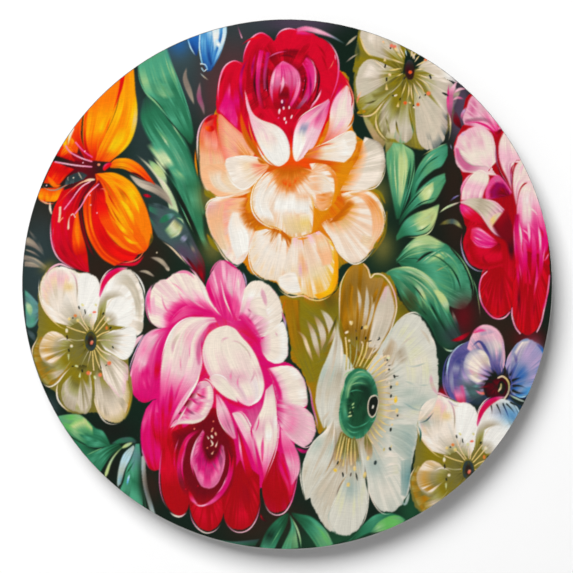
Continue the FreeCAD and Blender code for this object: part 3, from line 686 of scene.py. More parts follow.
# the pale blossom at the upper right
CREAM_BLOSSOM_TOP = """
L 44,80 ; 24,80 25.5,88 27,97 36,98 46,95 ; Z33z/z33
L 44,80 ; 25,82 24.5,74 26,66 30,62 36,54 44,52 52,50 60,56 64,64 60,76 54,84 ; 333z/Zzx3 1
R 27.5,84 27.8,88 27,92 ; 25.5,83 25.2,88 26.5,93 ; .VS|.zS 1
L 44.5,83 ; 30.5,86.6 28.6,90 26.9,95.5 30,98.5 36,97.5 42,95.5 ; 33q4n/zxn44n .7
R 31,88 30,92 30,96 ; 36,86.5 36,91 37,95 ; .nii|.nnn/.4in 1.4
S 26.9,95.4 28.4,91 30.3,87.5 33.6,85.2 ; .9 t ; nded3
L 43.5,80 ; 37.5,80.6 33.6,84.5 30.3,85.2 27,82.5 25.6,78.5 25.4,74.5 26.3,70.4 30,71.5 ; 33q4n/3xn44 .6
R 36,80.5 33,83.5 30.2,84.2 ; 35,77 31,77.5 27,78 ; .iin|.nin/.4ni 1.2
S 38,80.2 34.5,83.4 31.4,85.3 ; .7 t ; nieq
S 28.4,73.8 27,71 26.2,67.8 ; .9 t ; .hHh
L 43.5,78.5 ; 27,70.5 26.8,67 29,65.3 33,66.3 37,70.5 ; Z3zxqx/Z3zxx3
R 41,77 36,73.5 31,72 ; 41,76 37,71.5 33,69 ; .3z|.zx/3z 1
S 30,65.5 28,65.2 26,64.7 ; 2.2 t ; b3b
S 25.7,64.9 27.5,63.8 30.3,63.6 33,64.8 36,68.4 38.7,71.2 ; .9 t ; hhedeq4
L 44.5,76.5 ; 35.5,67 34.2,62 34.8,58 37.4,54.6 41,54 ; Z33xqz/Zz3z4nx .6
L 45,76.5 ; 40,55 43,52.5 46.5,54 48,58 ; 33x4q/3zq4F .6
R 36,66 35.2,61 36.5,57 ; 38,66 37.5,61 38.5,57 ; .qz|.xq/.ez 1
L 46,76.5 ; 42.5,54.5 45,53 47.5,56 ; Zzx4q/3x4n .7
S 45.8,68 46.8,62 48,56.5 ; 1.2 t ; 33v
S 34,66.2 33.5,61.5 34.5,58 37,55 39,53.8 ; .9 t ; qdedex
L 47.5,77 ; 48.7,57 50.3,52.5 53.5,50.3 58,51.5 60.5,57 61,64 ; Zx44nn/z4n4nS .6
R 48.5,66 50.5,60 53,54 ; 54,66 56,60 57,54 ; .4nS|.nnn/.n4n 1.2
L 49,79 ; 60,63 63,66 65,71 63,76 58,79 ; 3x4nn/z4nin .7
L 49,82 ; 57,78 62,78 66,76 65,82 58,86 54,88 ; xnnii/4niww .7
R 53,79.5 58,78.5 64,76 ; 54,83.5 60,82.5 65,80 ; .iww|.iww/.nww 1.2
L 47,86 ; 42,93 48,92 54,88 ; 33zx/xz3
S 37,64 38,60 39,56 ; 1.2 t ; .zxz.
S 41,63 41.6,58.6 43,55 ; 1 t ; .Z3x.
S 34.6,70 31,68.6 28,68.6 ; 1 t ; .Zz.
"""

# its stamens
CREAM_STAMENS = """
S 44.6,83.2 38.3,85.6 ; .75 t ; dedx
S 44,85.5 41.3,87.5 ; .8 t ; dede
S 44.8,85.2 42,90.3 ; .7 t ; ded
S 45.3,86 44.4,89.4 ; .6 t ; 4cd
S 46.7,85.6 47.5,89.6 ; .8 t ; dee
S 47.3,85 48.9,88.4 ; .7 t ; dee
S 47.9,83.7 50.3,87 ; .7 t ; dede
S 48.2,82.3 52.6,84.7 ; .8 t ; dede
S 48.4,81 52.3,81.6 ; .8 t ; dex
S 44.1,81.8 40,81.1 37.4,80.8 ; .8 t ; xddx
S 44.2,80 40.8,78.4 ; .7 t ; xdx
S 44.6,78.6 42,75 38.3,72 34.5,70.3 ; .6 t ; xxqx3
S 45.2,77.3 44,73.5 42.8,70.4 ; .7 t ; xdx
S 46,76.5 45.9,72 45,69.4 ; .7 t ; dedx
S 46.7,76.3 47,72 47.6,68.8 ; .7 t ; ded
S 47.4,76.8 48.8,73 50.1,70.5 ; .7 t ; dede
S 48,77.6 50.7,74.4 52,71.8 ; .7 t ; ded
S 48.4,78.6 52.5,76 54.5,73 ; .6 t ; ded
S 48.5,79.6 53,78 55.4,75.8 ; .6 t ; dex
S 46.4,85.2 46.2,81 46.6,77 ; 4.3 o ; sDDD/sMD
D .9 OH ; 46.5,80.2
S 43.8,77.3 45,78.8 ; .8 t ; sD
D .9 H ; 39.4,90.2 40.6,89.8
S 40.5,89.6 41.8,88 ; 1.4 o ; de
D .4 N ; 39,89.3
D .5 h ; 36.3,91.7
S 36.3,91.7 37,90.6 ; .6 t ; dq
S 36.9,86.5 36.9,84 ; 1.7 r ; hed
S 37.1,83.3 36.9,81.7 ; .8 s ; ND
S 38,79.7 39.5,78.8 ; 1.4 o ; hed
S 37.6,78.4 37.5,76.6 ; .8 s ; ND
S 37.4,76.6 37.6,73.2 ; 1.7 r ; dde
S 39.6,71.6 40.4,71.1 ; .8 o ; NN
S 40.2,71.1 41.8,71.8 ; .8 o ; we
S 41.3,70.9 40.7,71.9 ; .7 o ; ei
S 42.8,70.6 42.5,69.4 ; .7 o ; ND
S 42.1,69.4 41.7,66.8 ; 1.7 r ; dde
D .9 1H ; 44.6,68.6 49.4,68
S 45.8,69 46.9,68.3 ; .9 o ; de
D .4 N ; 47.7,67.6
S 47.5,67.3 48.4,66.5 ; .9 o ; ie
S 50.2,71.2 50,70.1 ; .6 o ; ND
D 1.1 HA ; 53.4,72.2
D .4 N ; 52.2,71.6
S 47,88 48.3,84.7 ; 1.2 t ; nen
D .8 HA ; 52.3,85
S 53.8,79.3 54.4,77.6 ; .9 s ; NN
"""

# leaves right of the peach flower
LEAVES_RIGHT = """
W 16 20 0 N .95 ; 62,34 62,14
W 6 14 0 D .8 ; 63,40 64,22
R 46,30 47.5,40 51,47.5 56,52 61,53.6 ; 47,28 50,37.5 55,42.5 58.6,44.5 61,49 ; VTTttt|vTtttT/TTtFtT .7
S 50,48 55,51 61,53.6 ; .7 t ; .xfl
S 47,36 52,44 59,48 ; 1.4 t ; .TF.
R 38,56 37,48 38,40 39.5,32 41,24 ; 41,55 45,52.5 48.3,49.5 47.6,42 45.5,33.5 42.5,24 ;
  tFFttTv|FFtFTTV/tfFFtTv .7
R 42.3,54 41.6,46 41.8,38 41.7,31 ; 44.6,53 46,46 45,38 42.6,28 ; F99lF|F999F/f9j9t .8
S 48,50 48,43 46,34.5 43,26 ; .8 t ; .FtT
S 47.2,48 45.5,40 43.6,31 ; .8 t ; .vTv
R 42,24 46,31.5 50,36.5 55,40.5 60,42.6 ; 42,21.5 46,26.5 51,29.8 56,31.4 60.3,39 ;
  VvTttF|VTtFFT/vTttFt .7
R 48.5,34 52,37.5 55.5,39.6 ; 50.5,29.6 53.3,31.3 55.8,35.5 ; F999|.j99/.9jf .9
S 42.5,25 47,31.2 53,37.6 59.5,41.9 ; .7 t ; VVTf
R 41,18.5 44,24 48,27 53,28.8 57.6,30.8 ; 41,16 45,18 50,18.3 53.9,20 56.4,24 57.8,30 ;
  VTtF99F|vTtFx99/TTtf99F .7
R 47,24 50.5,26 54,27.5 ; 49,19.5 52.5,20.8 55,24 ; .99.|.99l/.j9. 1
S 44,17.8 50,18 53.9,19.8 56.4,24 ; .7 t ; .9j9
S 57,26.7 60.5,29.2 66,31.4 ; 1.2 t ; ljlnP
S 61,31 63.5,33 65.5,33.8 ; .9 t ; .XY
S 56.8,22.2 60.5,23.6 63.5,23.5 66.8,20.5 ; 2.4 t ; .zSx.
L 41,10 44,6 ; 50,9.5 55,13 60,15.6 64,11.5 67.7,6.5 70,0 70.5,-6 66,-10 58,-6 50,2 ; vTtFtT/TTtTt .7
R 41,9.5 45,15 49,18.2 53,19 57,17.2 60.3,15.3 ; 41,7.5 46,10 51,11 55.5,12.3 59,13.7 ;
  vTF999F|VvTtTtT/Ttf9l9t .7
R 44,13.5 48,16.8 53,17.9 57.5,16 ; 46,13 50,14.5 54.5,14.5 58,14 ; .99.|.ff./.j9. 1
S 49.8,7.3 54,10.8 58.8,13.8 ; .7 t ; Tllf
R 51,8 55,11 58.5,13 ; 54,6.5 58,8 62,10.5 ; TF9F|.tFF/tf99 1
S 48,7.5 52,11 56.5,13 ; 1.3 t ; .DVN.
S 55,4.3 59,6.4 63.5,8 ; .7 t ; .xF.
S 60.3,15.4 64.5,11.3 67.8,6.4 70.2,0 70.5,-6 ; .6 t ; TFfFT
R 62,12 65,8 67,3 68,-3 ; 59,6 61,3 62,0 62,-4 ; .ttT|.TT./.FtT 1.2
R 36,4 40,6.3 45,6.8 50,5.2 55,1.6 58.5,-3 ; 38,-2 42,0 46,1 50,-.5 53,-3 55,-7 ;
  T9ff9FT|vTtFtTv/Ttf9FFt .7
S 39,5.6 45,6.4 50,4.8 55,1.3 58,-2.5 ; 1.4 t ; .9j9f.
S 39.6,53 39,44 40,34 ; .8 t ; .tfF.
S 40.6,54 40.6,44 41.4,34 42,27 ; .7 t ; .fl9F.
S 46.6,50 46.4,42 44.6,33 ; .8 t ; .TVv
S 43.4,53 44.4,44 43.6,34 ; .6 t ; .l9F.
S 50,43 54,48 59,51.6 ; .7 t ; .FlF.
S 49,40 53,45.6 59,49.6 ; .8 t ; .vTv.
S 48,33 52,36.6 57,39.6 ; .6 t ; .lf.
S 46.6,28 51,31 57,33 ; .7 t ; .VTv
S 45,21 50,23.6 56,27 ; .7 t ; .l9l.
S 46,19.6 51,20.6 55,23.6 ; .6 t ; .FvT.
S 46,12 52,13.6 58,11.6 63,6 ; .8 t ; .Ftt.
S 50,10 56,10.6 62,6 65,0 ; .8 t ; .TvT.
S 52,7 58,7.4 63,2.6 ; .7 t ; .tFt.
S 58,13.4 63,9 66.6,2.6 ; .8 t ; .lFt.
S 60,9 64,3 66,-3 ; 1 t ; .vVv
S 43,12 47,15.6 53,16.6 ; .6 t ; .lfl.
"""

# the peony at the right edge
PEONY_RIGHT = """
W 4 9 0 5 .9 ; 66,70 64.5,62
S 64.5,77.5 62,72.5 61.4,67 62,61.5 ; 3 t ; PPuuUm
S 61.2,77 60.8,72 61,66 62.4,60 ; 1.2 t ; .gGUu
S 66,75 64,72 63,68.5 ; 2.6 t ; .q5
S 62.6,72 65,73.7 68,74 ; 1.4 t ; uP8u
S 62,69.3 64.5,70.6 67.3,69.7 ; 1.3 t ; u8uS
S 63.5,66 64,62 66,58.5 ; 3 t ; .mM
S 58.2,72.6 60,71.8 61.3,71 ; 1.2 t ; NNS
S 60.6,66 61.6,62 61.6,57.5 60.9,54 ; .8 t ; HnexEd
S 61.5,53.5 62.4,50.5 ; .6 t ; .W.
W 11 9 0 D .95 ; 78,-14 84,-20
W 6 5 0 K .5 ; 92,-21
L 84,44 ; 62.5,50 64,57 67,62 66,66 70,73 80,64 90,48 97,30 99.5,10 99,-4 97,-12 94,-18 90.5,-19.8
  87.4,-18 85.2,-12 85,-9 83,-12 79,-12.8 76,-11 73.4,-6.5 72.7,-1 73.4,2.5 75.5,5.4 71,6 67.4,10.5
  66,15 67.4,20.6 65.4,27 65,31 66,40 62.5,50 ; mKLLL/KLLkL
L 80,8 ; 75.6,5 73.4,2.4 72.7,-1 72.9,-4.6 74,-8 76,-10.9 78.6,-12.8 81.2,-12.8 83.6,-11.2 85,-8.8
  85.6,2 ; LLLL/LLkr .6
L 91,16 ; 86,8 85.3,-2 85,-10 85.7,-14.6 87.6,-18.3 90.5,-19.9 93.4,-19 95.6,-15.6 96.8,-10 98.6,0
  98,10 ; KLLLL/KKLkr .6
S 75.8,5.2 73.5,2.6 72.6,-1.4 73,-5.4 74.4,-8.8 77,-11.9 79.5,-13 82.2,-12.5 84.6,-10 ; .75 s ;
  PpGPGGpPG
S 76,-10.9 79.5,-12.3 83,-10.8 ; 1.2 t ; .kkk.
S 85,-8.6 85,-12 86.2,-16 88.3,-19 ; .75 s ; uPpP
S 94.2,-18.4 96,-14.4 97.2,-9 98.6,-2 99.2,4 ; .8 s ; PpPGpG
S 97.4,-4 97,-8 95.6,-12 ; .8 t ; .kgk.
L 79.6,57.3 ; 66.5,60.2 65.8,63 67,66.5 69.8,72 77,70 85,60 ; gGp8P8/GpPPuP .7
S 66.3,61.5 66.1,64 68,67.6 ; 1.6 t ; .uY.
R 67,60.4 70,61 74,61.3 78,59.5 ; 66.5,62.5 70,63.4 75,63.5 79,60.5 ; GGu.|.... .8
S 67,60.9 71.5,61.2 75.3,59.9 78,57.5 79.1,54.5 ; 1.1 t ; GGgggk
S 79,55.3 79.9,57.5 81.8,59 ; 1.9 t ; gKmg
S 79.2,60.8 80.2,59 ; .5 t ; .kG
L 80.5,40.5 76,43 ; 66,42.3 63.6,45.5 62.6,50 63.2,54 65,57.3 68.5,59.8 72.3,60.4 75.7,58.9 77.8,56
  78.6,51 79.2,46 ; 8PiiiP/iiPi8P .7
R 62.8,52 63.8,46.5 67,42.9 72,42.3 77,42.5 ; 65,52 67,48 70.5,45.6 75,45 78,44.5 ; uupu8.|...../Guu8. 1
S 65.6,56.2 67.6,57.6 ; 1.5 o ; YP
R 66,56 68,50 71,46 ; 74,58 75.5,52 77,46 ; .ii.|.Pi./.8i. 1.4
S 74.5,59.8 77.2,57 78.4,52.5 79,47 80.6,42.3 83,38.5 85,35.3 ; .7 t ; iPiPipP
S 79,55.5 78.9,50 79.5,45 81.2,40.8 84.5,36 ; .9 t ; gUUmMM
R 82,58.7 79.9,54 79.6,49 80.8,44 83,39.5 85.4,33 ; 86,57 92,46 87,47 85.7,44 84.7,40 85.6,33 ;
  iiPPPPu|iPP8uPu/PiPi8P .7
S 86.3,46.2 84.9,44 84.6,40.5 85,36 ; 1.1 t ; uKuUu
R 88.5,48 85.8,44.5 85,40 85.2,35 86.5,29 ; 94,46 93,38.5 90.5,38.6 88.2,36 86.8,30 ;
  iiiPiP|iiPPu8/iPiiP8 .7
S 88.8,38.4 91,38.9 93,38.6 ; .7 t ; 8PP
R 91,39 88,36.2 86.7,31.5 86.4,26 86.6,20 87.2,13 ; 94,39 96.5,32 98.5,24 99.5,18 98,12 94,11.5 ;
  iiPPpGgk|iPPGggkk/PiPpGggk .7
R 89,36 88.2,31 88,26 88.6,20 ; 93,36 93,31 93,26 92.5,20 ; .iiP.|.PiP./.wP8. 1.2
S 90.8,29.6 93.5,27.6 95.2,25 ; .8 t ; .iP.
S 88,25 91,23.5 94.5,19.5 ; .9 t ; .PpG.
S 88,21.5 91,19 93.5,15.5 ; .9 t ; .Ppg.
S 88,18.5 90.5,16 92,13 ; .9 t ; .pGg.
S 94,23 96,20.5 97,17 ; 1.2 t ; .gkk
R 85.8,27 85.4,19 86,12 88,5 89.5,0 ; 88,27 88.3,20 89.5,13 92,5 93,-1 ; 0gGggk|kgkkkk/0GGgk .9
S 86,26 85.7,18 86.5,11 88.1,5 88.8,-1 ; 1 t ; .GpGGG.
S 98,17 96.8,10.5 95.6,4.5 93.6,-1 ; 1 t ; gGpGGg
S 99,12 97.7,9.5 96,8.6 ; .8 t ; PG.
L 84,33 ; 74.6,31.5 74.5,35.5 76,39.5 79,41.9 82,39.5 85.3,34.5 ; mm0GG/K0guG .8
L 83,34 ; 76,31.5 76,36 79,39 83,37.5 ; mK00/mm0K 1.2
R 65.3,31.5 65.8,36 68,40.2 71,42.8 74,42.9 ; 74,31.5 74.8,35 76.4,38.5 76.5,41 74.6,42.5 ;
  8PPiiP|uPPiiP/PiPii8 .7
S 65.8,32.5 66,36.5 68,40.2 70.5,42.4 ; 1.3 t ; uppP8
S 71,42.8 73.5,43 76.2,41.2 ; .7 t ; iiw
R 65,31.6 70,33 76,32.5 80,30.2 83.6,26.3 85.5,22 ; 65.3,30.4 69,28.9 73,25.5 76,21 79,17.9 83,16.6 ;
  8nnqnUKm|PnnqUUmm/8nqnPUm .7
R 75.6,23.5 78,26.7 81.5,27.6 84,25.5 ; 77,20.5 79,21.5 81.5,23.5 83.5,24.5 ; .eee8.|.een./.dne. .9
S 68,30.4 72,28.2 75,24 78,19.8 82.5,17 ; .8 t ; .nPnPu
S 73,32.2 78,31.3 81,29 84,26 ; .8 t ; .PP8u
R 78.5,22 80,20.5 83,20 ; 80,18.3 82,17.6 84,18 ; .UU0|.0Um/.uU0 .9
R 64.8,30.2 65.2,27.5 66.8,25.2 70,23.6 74.5,22 ; 66,30.8 69,29.3 72,26.9 74.3,24 76.6,20.6 ;
  GgRkKK|GgkkKm/gGkkK .7
L 81,15 ; 73.5,22.5 69.8,22.9 67.3,20.3 66.2,15.5 67,10.5 69.3,7 72.5,5.5 77,5.6 82,7 ; mKkkLk/KLkkLk .7
R 69.5,21.8 73,21.6 76.5,18.5 80,15.8 ; 68.7,17.5 72,14 76,13.4 80,15 ; GGGgK|RgggK/kpGGk .7
S 70.2,21 73.5,20.3 77,17.8 80,15.9 ; .8 t ; .PpG.
S 69.6,18.6 72.5,17 76,16 ; .7 t ; .PG.
S 70.2,16.5 73,14.6 76.6,14 79.5,15 ; .6 t ; .GpG.
S 66.3,20.5 65.7,15.5 66.8,10.5 69,7 72.5,5 76.2,5.4 ; .8 t ; kuWYWYP
R 77,22 80,17.5 82.5,15 84,8 ; 83,30 85,24 86,17 86.3,8 ; mmmM.|KKmm./KmmM. 1.1
S 76.6,3 75,-2 76.4,-8 ; 1.4 t ; .Kk.
S 81.6,6 81,-2 80.6,-10 ; 1.6 t ; .KK.
S 88,4 87.6,-6 88.4,-15 ; 1.6 t ; .KmK.
S 93,2 93.6,-6 92.6,-14 ; 1.4 t ; .kK.
S 90.6,10 91,0 90.6,-8 ; 1 t ; .Kk.
S 68.4,17 68,12.6 70,8.4 ; 1.6 t ; .Kk.
S 74,12 74.4,9 77,6.8 ; 1.6 t ; .KK.
S 92,24 93.4,12 92,-2 ; 2.4 t ; .Ggk.
S 95,20 96,9 94.6,-3 ; 2 t ; .Ggk.
S 89,22 90,9 89,-4 ; 2.2 t ; .Ggk.
S 86,20 87,8 87.6,-3 ; 1.8 t ; .gkg.
S 93.6,12 94.4,4 93,-6 ; 1.2 t ; .gG.
S 90.6,26 91.4,20 91.6,14 ; 1.4 t ; .PP.
S 94.6,24 95.6,17 95.6,11 ; 1.2 t ; .PP.
S 87.4,25 88.4,18 88.6,12 ; 1.2 t ; .iP.
"""

# what lies under the peach flower, and a blurred olive petal beside it
PEACH_BASE = """
W 5 7 0 z .8 ; -30,33 -28,14 36,14 34,34
L 0,50 ; -31,60 -33,50 -33.2,43 -31.6,36.8 -29.5,33 -31.4,29 -30.6,22 -27.5,15.5 -22,8.4 -17,7 -14,3
  -4,-1 5,-6 12,-6.6 19,-3 20,5 24,7.4 30,9 37,18 37.6,26 35.6,33 34,36 37,42 36.6,49 30,54 26,58 24,66
  24,74 20,82 -6,84 -20,76 -25,70 -31,60 ; rR1b3/O1b6b
L 1.5,46 ; -8,50 -14,40 -16,30 -13,20 -4,17 8,16 14,24 20,33 26,46 12,54 -8,50 ; OO11bb/1O6bb 1.4
S 28,70 32.6,64 35,57 35,49 ; 9 l ; zx+z
S 33,68 37,62 38.6,55 37,49 ; 6 l ; zxxz
"""

# the peach flower, middle and lower petals
PEACH_LOWER = """
W 6 6 0 b .6 ; 14,24
R 38.2,28 37.8,20 35.4,15 31.5,10 ; 37,28 36.4,20 34,15 30.5,10 ; 33b3|b333 .8
S 31,36.1 34.6,34.8 37.4,30 ; 1.8 t ; b333b
S -30.6,19.5 -28.4,15.6 -25.3,11.6 ; 2.2 t ; b333z
S -31.5,36.6 -30,34 -26.5,33 ; 2.4 t ; z33z
L 20,35 22,39 24.5,43.5 27,48 28.5,54 ; 30,35.6 35.4,38.4 37.3,43.8 37.3,49.5 35,53.8 29,56 ;
  heiiie|Ah444E/bhiii4 .6
S 20,34.9 25,35.9 30,35.7 34,37.2 36.6,41.6 37.3,47.5 ; .6 t ; eiiie4
L 12.7,22.7 15,24.2 19,26 21.5,29 20.8,32 19.9,34 ; 14.5,20.4 17.5,16 19,12.6 21.5,9.8 25,7.6 28.5,8.4
  31.5,11.6 34.5,16.6 37,21 37,27 35,31.6 31.5,35.2 26,35.6 20.4,34.2 ; hiiiwi|1bhhhh/6hiiii .6
R 23,34.6 28.5,35 33,32.4 36,27.5 36.8,22.5 34.5,17.8 31.5,12.6 ; 24,33.6 28,32 31,27.6 31.8,22 31.4,17
  29.8,13 ; AhhbhhA|.hhhhh./bhAhhee .8
R 28.3,20 30.5,18.8 33,18.5 ; 27,16 29,14.2 31.4,13.6 ; eee|heh/nee 1
L 16,23 19,26.5 ; 21,24 24.6,28.5 26,31.5 23.5,33 ; 66b./666. .8
L 22,30.5 ; 26,26.5 29.5,29 28,31.6 25,33.4 ; 6../b.. 1
S 12.7,22.6 15.2,19.8 17.4,16 19,12.6 21.6,9.8 25,7.7 28.2,8.5 31.3,11.4 34,15.6 ; .7 t ; eiiiwiiee
S 27,35.5 31.5,34.9 35,31 37,25.8 36.7,21 ; .7 t ; bdiied
L -14.6,33 -16,29 -15.4,25.4 -13,22 -11.5,20 ; -22,32.5 -27,32.5 -30.4,30.6 -31.4,27 -30.5,22.8
  -29.2,18.8 -27,15.4 -25,12 -22.3,8.6 -19.3,6.8 -16.9,8.1 -14.9,11.4 -13.5,16 ; 1hh222P|ewiiiw/6hh2hii
  .6
R -30,30.6 -31,26.5 -29,19.2 -25.4,13.2 ; -23,31 -24,25 -23.3,19 -22,12 ; 8hhe|hhee/2hhe 1
R -21,28 -22.8,22 -21.8,15 -19.3,8.6 ; -18,27.4 -17,24 -14,19.2 -14.2,12.5 ; iwwww|wiiwi/iiwww 1
S -15.4,31 -20,30.5 -25,29.5 ; 1.6 t ; bh2.
S -16.4,28 -20,28.4 -24,27.4 ; 1.2 t ; 1h..
S -22,32.7 -26.6,32.6 -30,31 -31.4,27.4 ; .8 t ; iwwi8
S -28.8,18 -26.6,14.8 -24.6,11.4 -22.2,8.6 -19.3,6.8 -16.6,8.4 ; .7 t ; deeewwi
L -10,27 -9,23 ; -17.5,28.5 -17.6,24.8 -15.6,21.4 -12,20 -7.5,21 ; 666./66.. .7
L -5,42.6 -3.6,40 -1.2,37.6 1,36.8 3.2,38.4 5.4,40.6 9.4,43 ; -7.5,42.6 -10.5,39.8 -12.6,36.4 -13.6,32
  -13,27.6 -11,24.4 -8,22.2 -4,20.9 0,18.3 3,17.1 7,18 9.6,19.6 10.2,26 10.6,29.4 12.4,27.6 15.4,27.9
  17.4,31 19.4,36.6 18.8,41.4 16,44.8 12,45.9 8,45.7 ; Ahwiiii|1hhhhAb/Aiiiwii .6
R -7,40.5 -11,36.4 -12.6,32 -12,28 -9.5,25 ; -3,37 -6,33 -6.6,29 -5,26 -4,22 ; .iwww.|.iiiw./.wiww. 1
R -3,35.6 -5,31 -5.6,26.6 ; 7.6,35.4 8.8,31 8.6,26.4 ; .iwwi|.hiwi/.iww. .8
R -3,27 -1.6,22 1,18.4 ; 8.8,27 9.2,23 9.4,19.8 ; iee|hdd/ide 1
R 8.2,34.8 9.2,30 9.6,25 9.4,20 ; 9.6,34.6 10.4,30 10.6,25 10.2,20 ; .dAb|.bbb .6
R 6,40.8 10,42.6 14,42 17,38 ; 8.4,35.6 11,34.6 14,34.4 16.6,34.8 ; .hii|.hii/.iei .7
R 10.3,34.2 13.4,34.6 17.2,34.4 ; 11,29.4 13.4,27.7 17,29.8 ; hhA|hhb/hAh .6
R 9,44.6 13.5,44.2 17,40.4 17.6,35.4 16.4,30 ; 8,45.7 14.6,45.3 18.8,41.2 19.5,36.6 18.4,30.6 ;
  .hhAb|.hAbb/.hAbb .6
L -3,44.5 1,45 6,44.6 ; -8.5,42 -6,39 -3.6,36.6 .4,35 3.6,36.4 7,39.4 11,42.8 ; 16A./16A.. .7
S -1.5,42 -5,39.5 -7,37.5 ; .5 t ; 1A.
S 0,41 -3,37.4 -5,35 ; .5 t ; 1A.
S 3,41 5,38.6 7,36.8 ; .5 t ; 1A.
S -6.5,43.4 -10.4,40.2 -12.8,36.4 -13.7,31.6 -13,27.4 -10.6,24 -7,21.8 -3.4,20.8 -1,19 1.6,17.3 ; .7 t
  ; Aiiwwwwiiiii
L -9,20.9 -6,20.3 -3,19 1,16.6 ; -12,20.4 -13.7,16 -14.5,10.5 -13.7,6.4 -11.5,3.3 -8,1.3 -4.3,.8
  -3.2,-.6 0,-3.5 3,-4.6 ; iwwiii|hhiiie/wiiiei .6
L 1.4,17.4 5,17.8 9,18.8 12.5,20.2 ; -3.8,-.6 -1,-3.7 3,-4.9 6,-4.4 10,-6 14,-5.6 17.9,-2.4 19.3,4
  19.3,10.5 16.7,16.4 ; eiiihe|hhhdya/Piieid .6
R 17.2,15 17.6,8 16.6,2 14.6,-2 9.5,-3.8 ; 19.2,11.6 19.5,6 19,.6 16.7,-3.8 11.6,-6 ; dayyd|aaaab/hdaya
  .6
R 10.4,18.6 10.8,13 12.4,9 13,6.4 ; 13.4,19.6 16,16 17.4,11 17,7.4 ; hhhh|hAhh/hehh .9
R -3.6,2.6 0,4.9 3.4,5 ; -3.2,-.8 1,-3.6 6,-3.2 ; iii|www/wiw .8
L 4,14 6.6,14 ; 3.6,2.4 6.4,1.4 9,3 ; .hh./.e8. 1
S -4,.3 -2.6,-2.4 1.4,-4.7 5.8,-4.3 8.8,-5.6 12.4,-6 16,-4.4 18.6,-1 ; .9 t ; bdeehddbb
S -11.9,20.4 -13.8,15 -14.5,9.6 -13,4.8 -9.6,1.9 -6,1 ; .6 t ; iiwwiieb
L -5.5,21.4 -2.6,20 ; -10,18.6 -7.4,16.6 -6,14.6 -4.6,16.6 ; 66./6.. .7
L -2.6,20.6 0,18.6 ; -2.8,16.6 -.6,14.6 1.4,13.4 1.9,17 ; 666./66.. .7
S -3.1,19.6 -3.6,15.6 -4.4,11 ; 1.1 t ; .iie.
S 1.9,17.4 2.2,13 2.6,8 ; .9 t ; .ii.
S 3.4,17.2 6,17.3 8.4,17.8 ; 1.1 t ; baAb
S 5.6,18.4 6,16.4 6.4,14 ; .6 t ; bA.
S -2,43 -6,39 -9,34 ; 1 t ; 1h.
S 1,42 0,37 -.6,32 ; 1 t ; 1A.
S 3,43 6.6,41 9,37.6 ; 1 t ; 1A.
S -4,43.6 -8.4,40.6 -11,36.6 ; .8 t ; 1h.
S 4.6,44 9,43 13,40 ; .8 t ; 1h.
"""

# the teal leaf above the pink rose, and the grey sprigs beside it
TEAL_LEAF = """
R -46,42 -42.6,36 -39,29 -35.4,21 -31.6,13 -29.4,7 ; -33,42 -32.3,33 -31.4,24 -30.6,18 -28,12 -27,7 ;
  .tTtTTVN|.vTTTvVN/.TtTTtVV 1
S -46.5,43 -42,35 -38,26.5 -34,18 -30.6,10 ; 2.6 t ; vVNNVN
S -42,33 -39,27 -35,18.5 ; .5 t ; .tf.
R -53,31 -46,29.6 -41,27.4 -37,21 -34,14.6 -31.3,9 -30.6,3 ; -52,24 -49,17.6 -44,14 -39.6,9.6 -36,5.6
  -33,2 -31.3,-1 ; sSTSSsM|sSSS5mm/TSSSs5mM .9
S -52,31 -47.5,29.4 -43,27.6 ; 2 t ; .SsS.
S -49,23 -45,25.5 -42,26.6 ; 3 t ; .TT$.
R -47,20.4 -44.8,22.8 -42.6,25.5 ; -44.4,16.7 -40.6,18.6 -38.7,22.4 ; .f77.|.xl9./.l7x. .8
S -42.6,25.4 -40.2,24.6 -38.7,22.4 ; .8 t ; .fl.
S -41.6,15 -39.4,17 -37,20 ; 2.6 t ; .SWS.
S -37.5,17 -35.5,13 -33.8,9.6 ; 1.6 t ; .SE5.
W 4 2.2 -45 5 .8 ; -39.6,12.4
S -39,11.5 -35.5,6.6 -32.6,2.4 ; 1.6 t ; 5MmmM
S -34,9 -32.9,5 -31.6,1 ; 2 t ; .mKm
S -48,16.8 -44,14 -40.5,10.4 -37,6.5 ; .9 t ; EqeeeqE
S -41.6,12.8 -38.4,9 -35,5.2 ; .5 t ; .Pu.
S -37.5,6.9 -34.4,3.6 -32,-.4 ; .9 t ; EuP8uE
S -53,10.3 -49.6,9.9 -46.6,7.6 -44.4,4.8 ; 2 r ; Eqqn|EEqq
S -56.2,4.9 -53,4.6 -50,2.6 ; 1.4 t ; EqqE|EE
D .45 q ; -49.3,12
S -48.9,18.6 -48.4,17.8 ; .7 o ; SS
"""

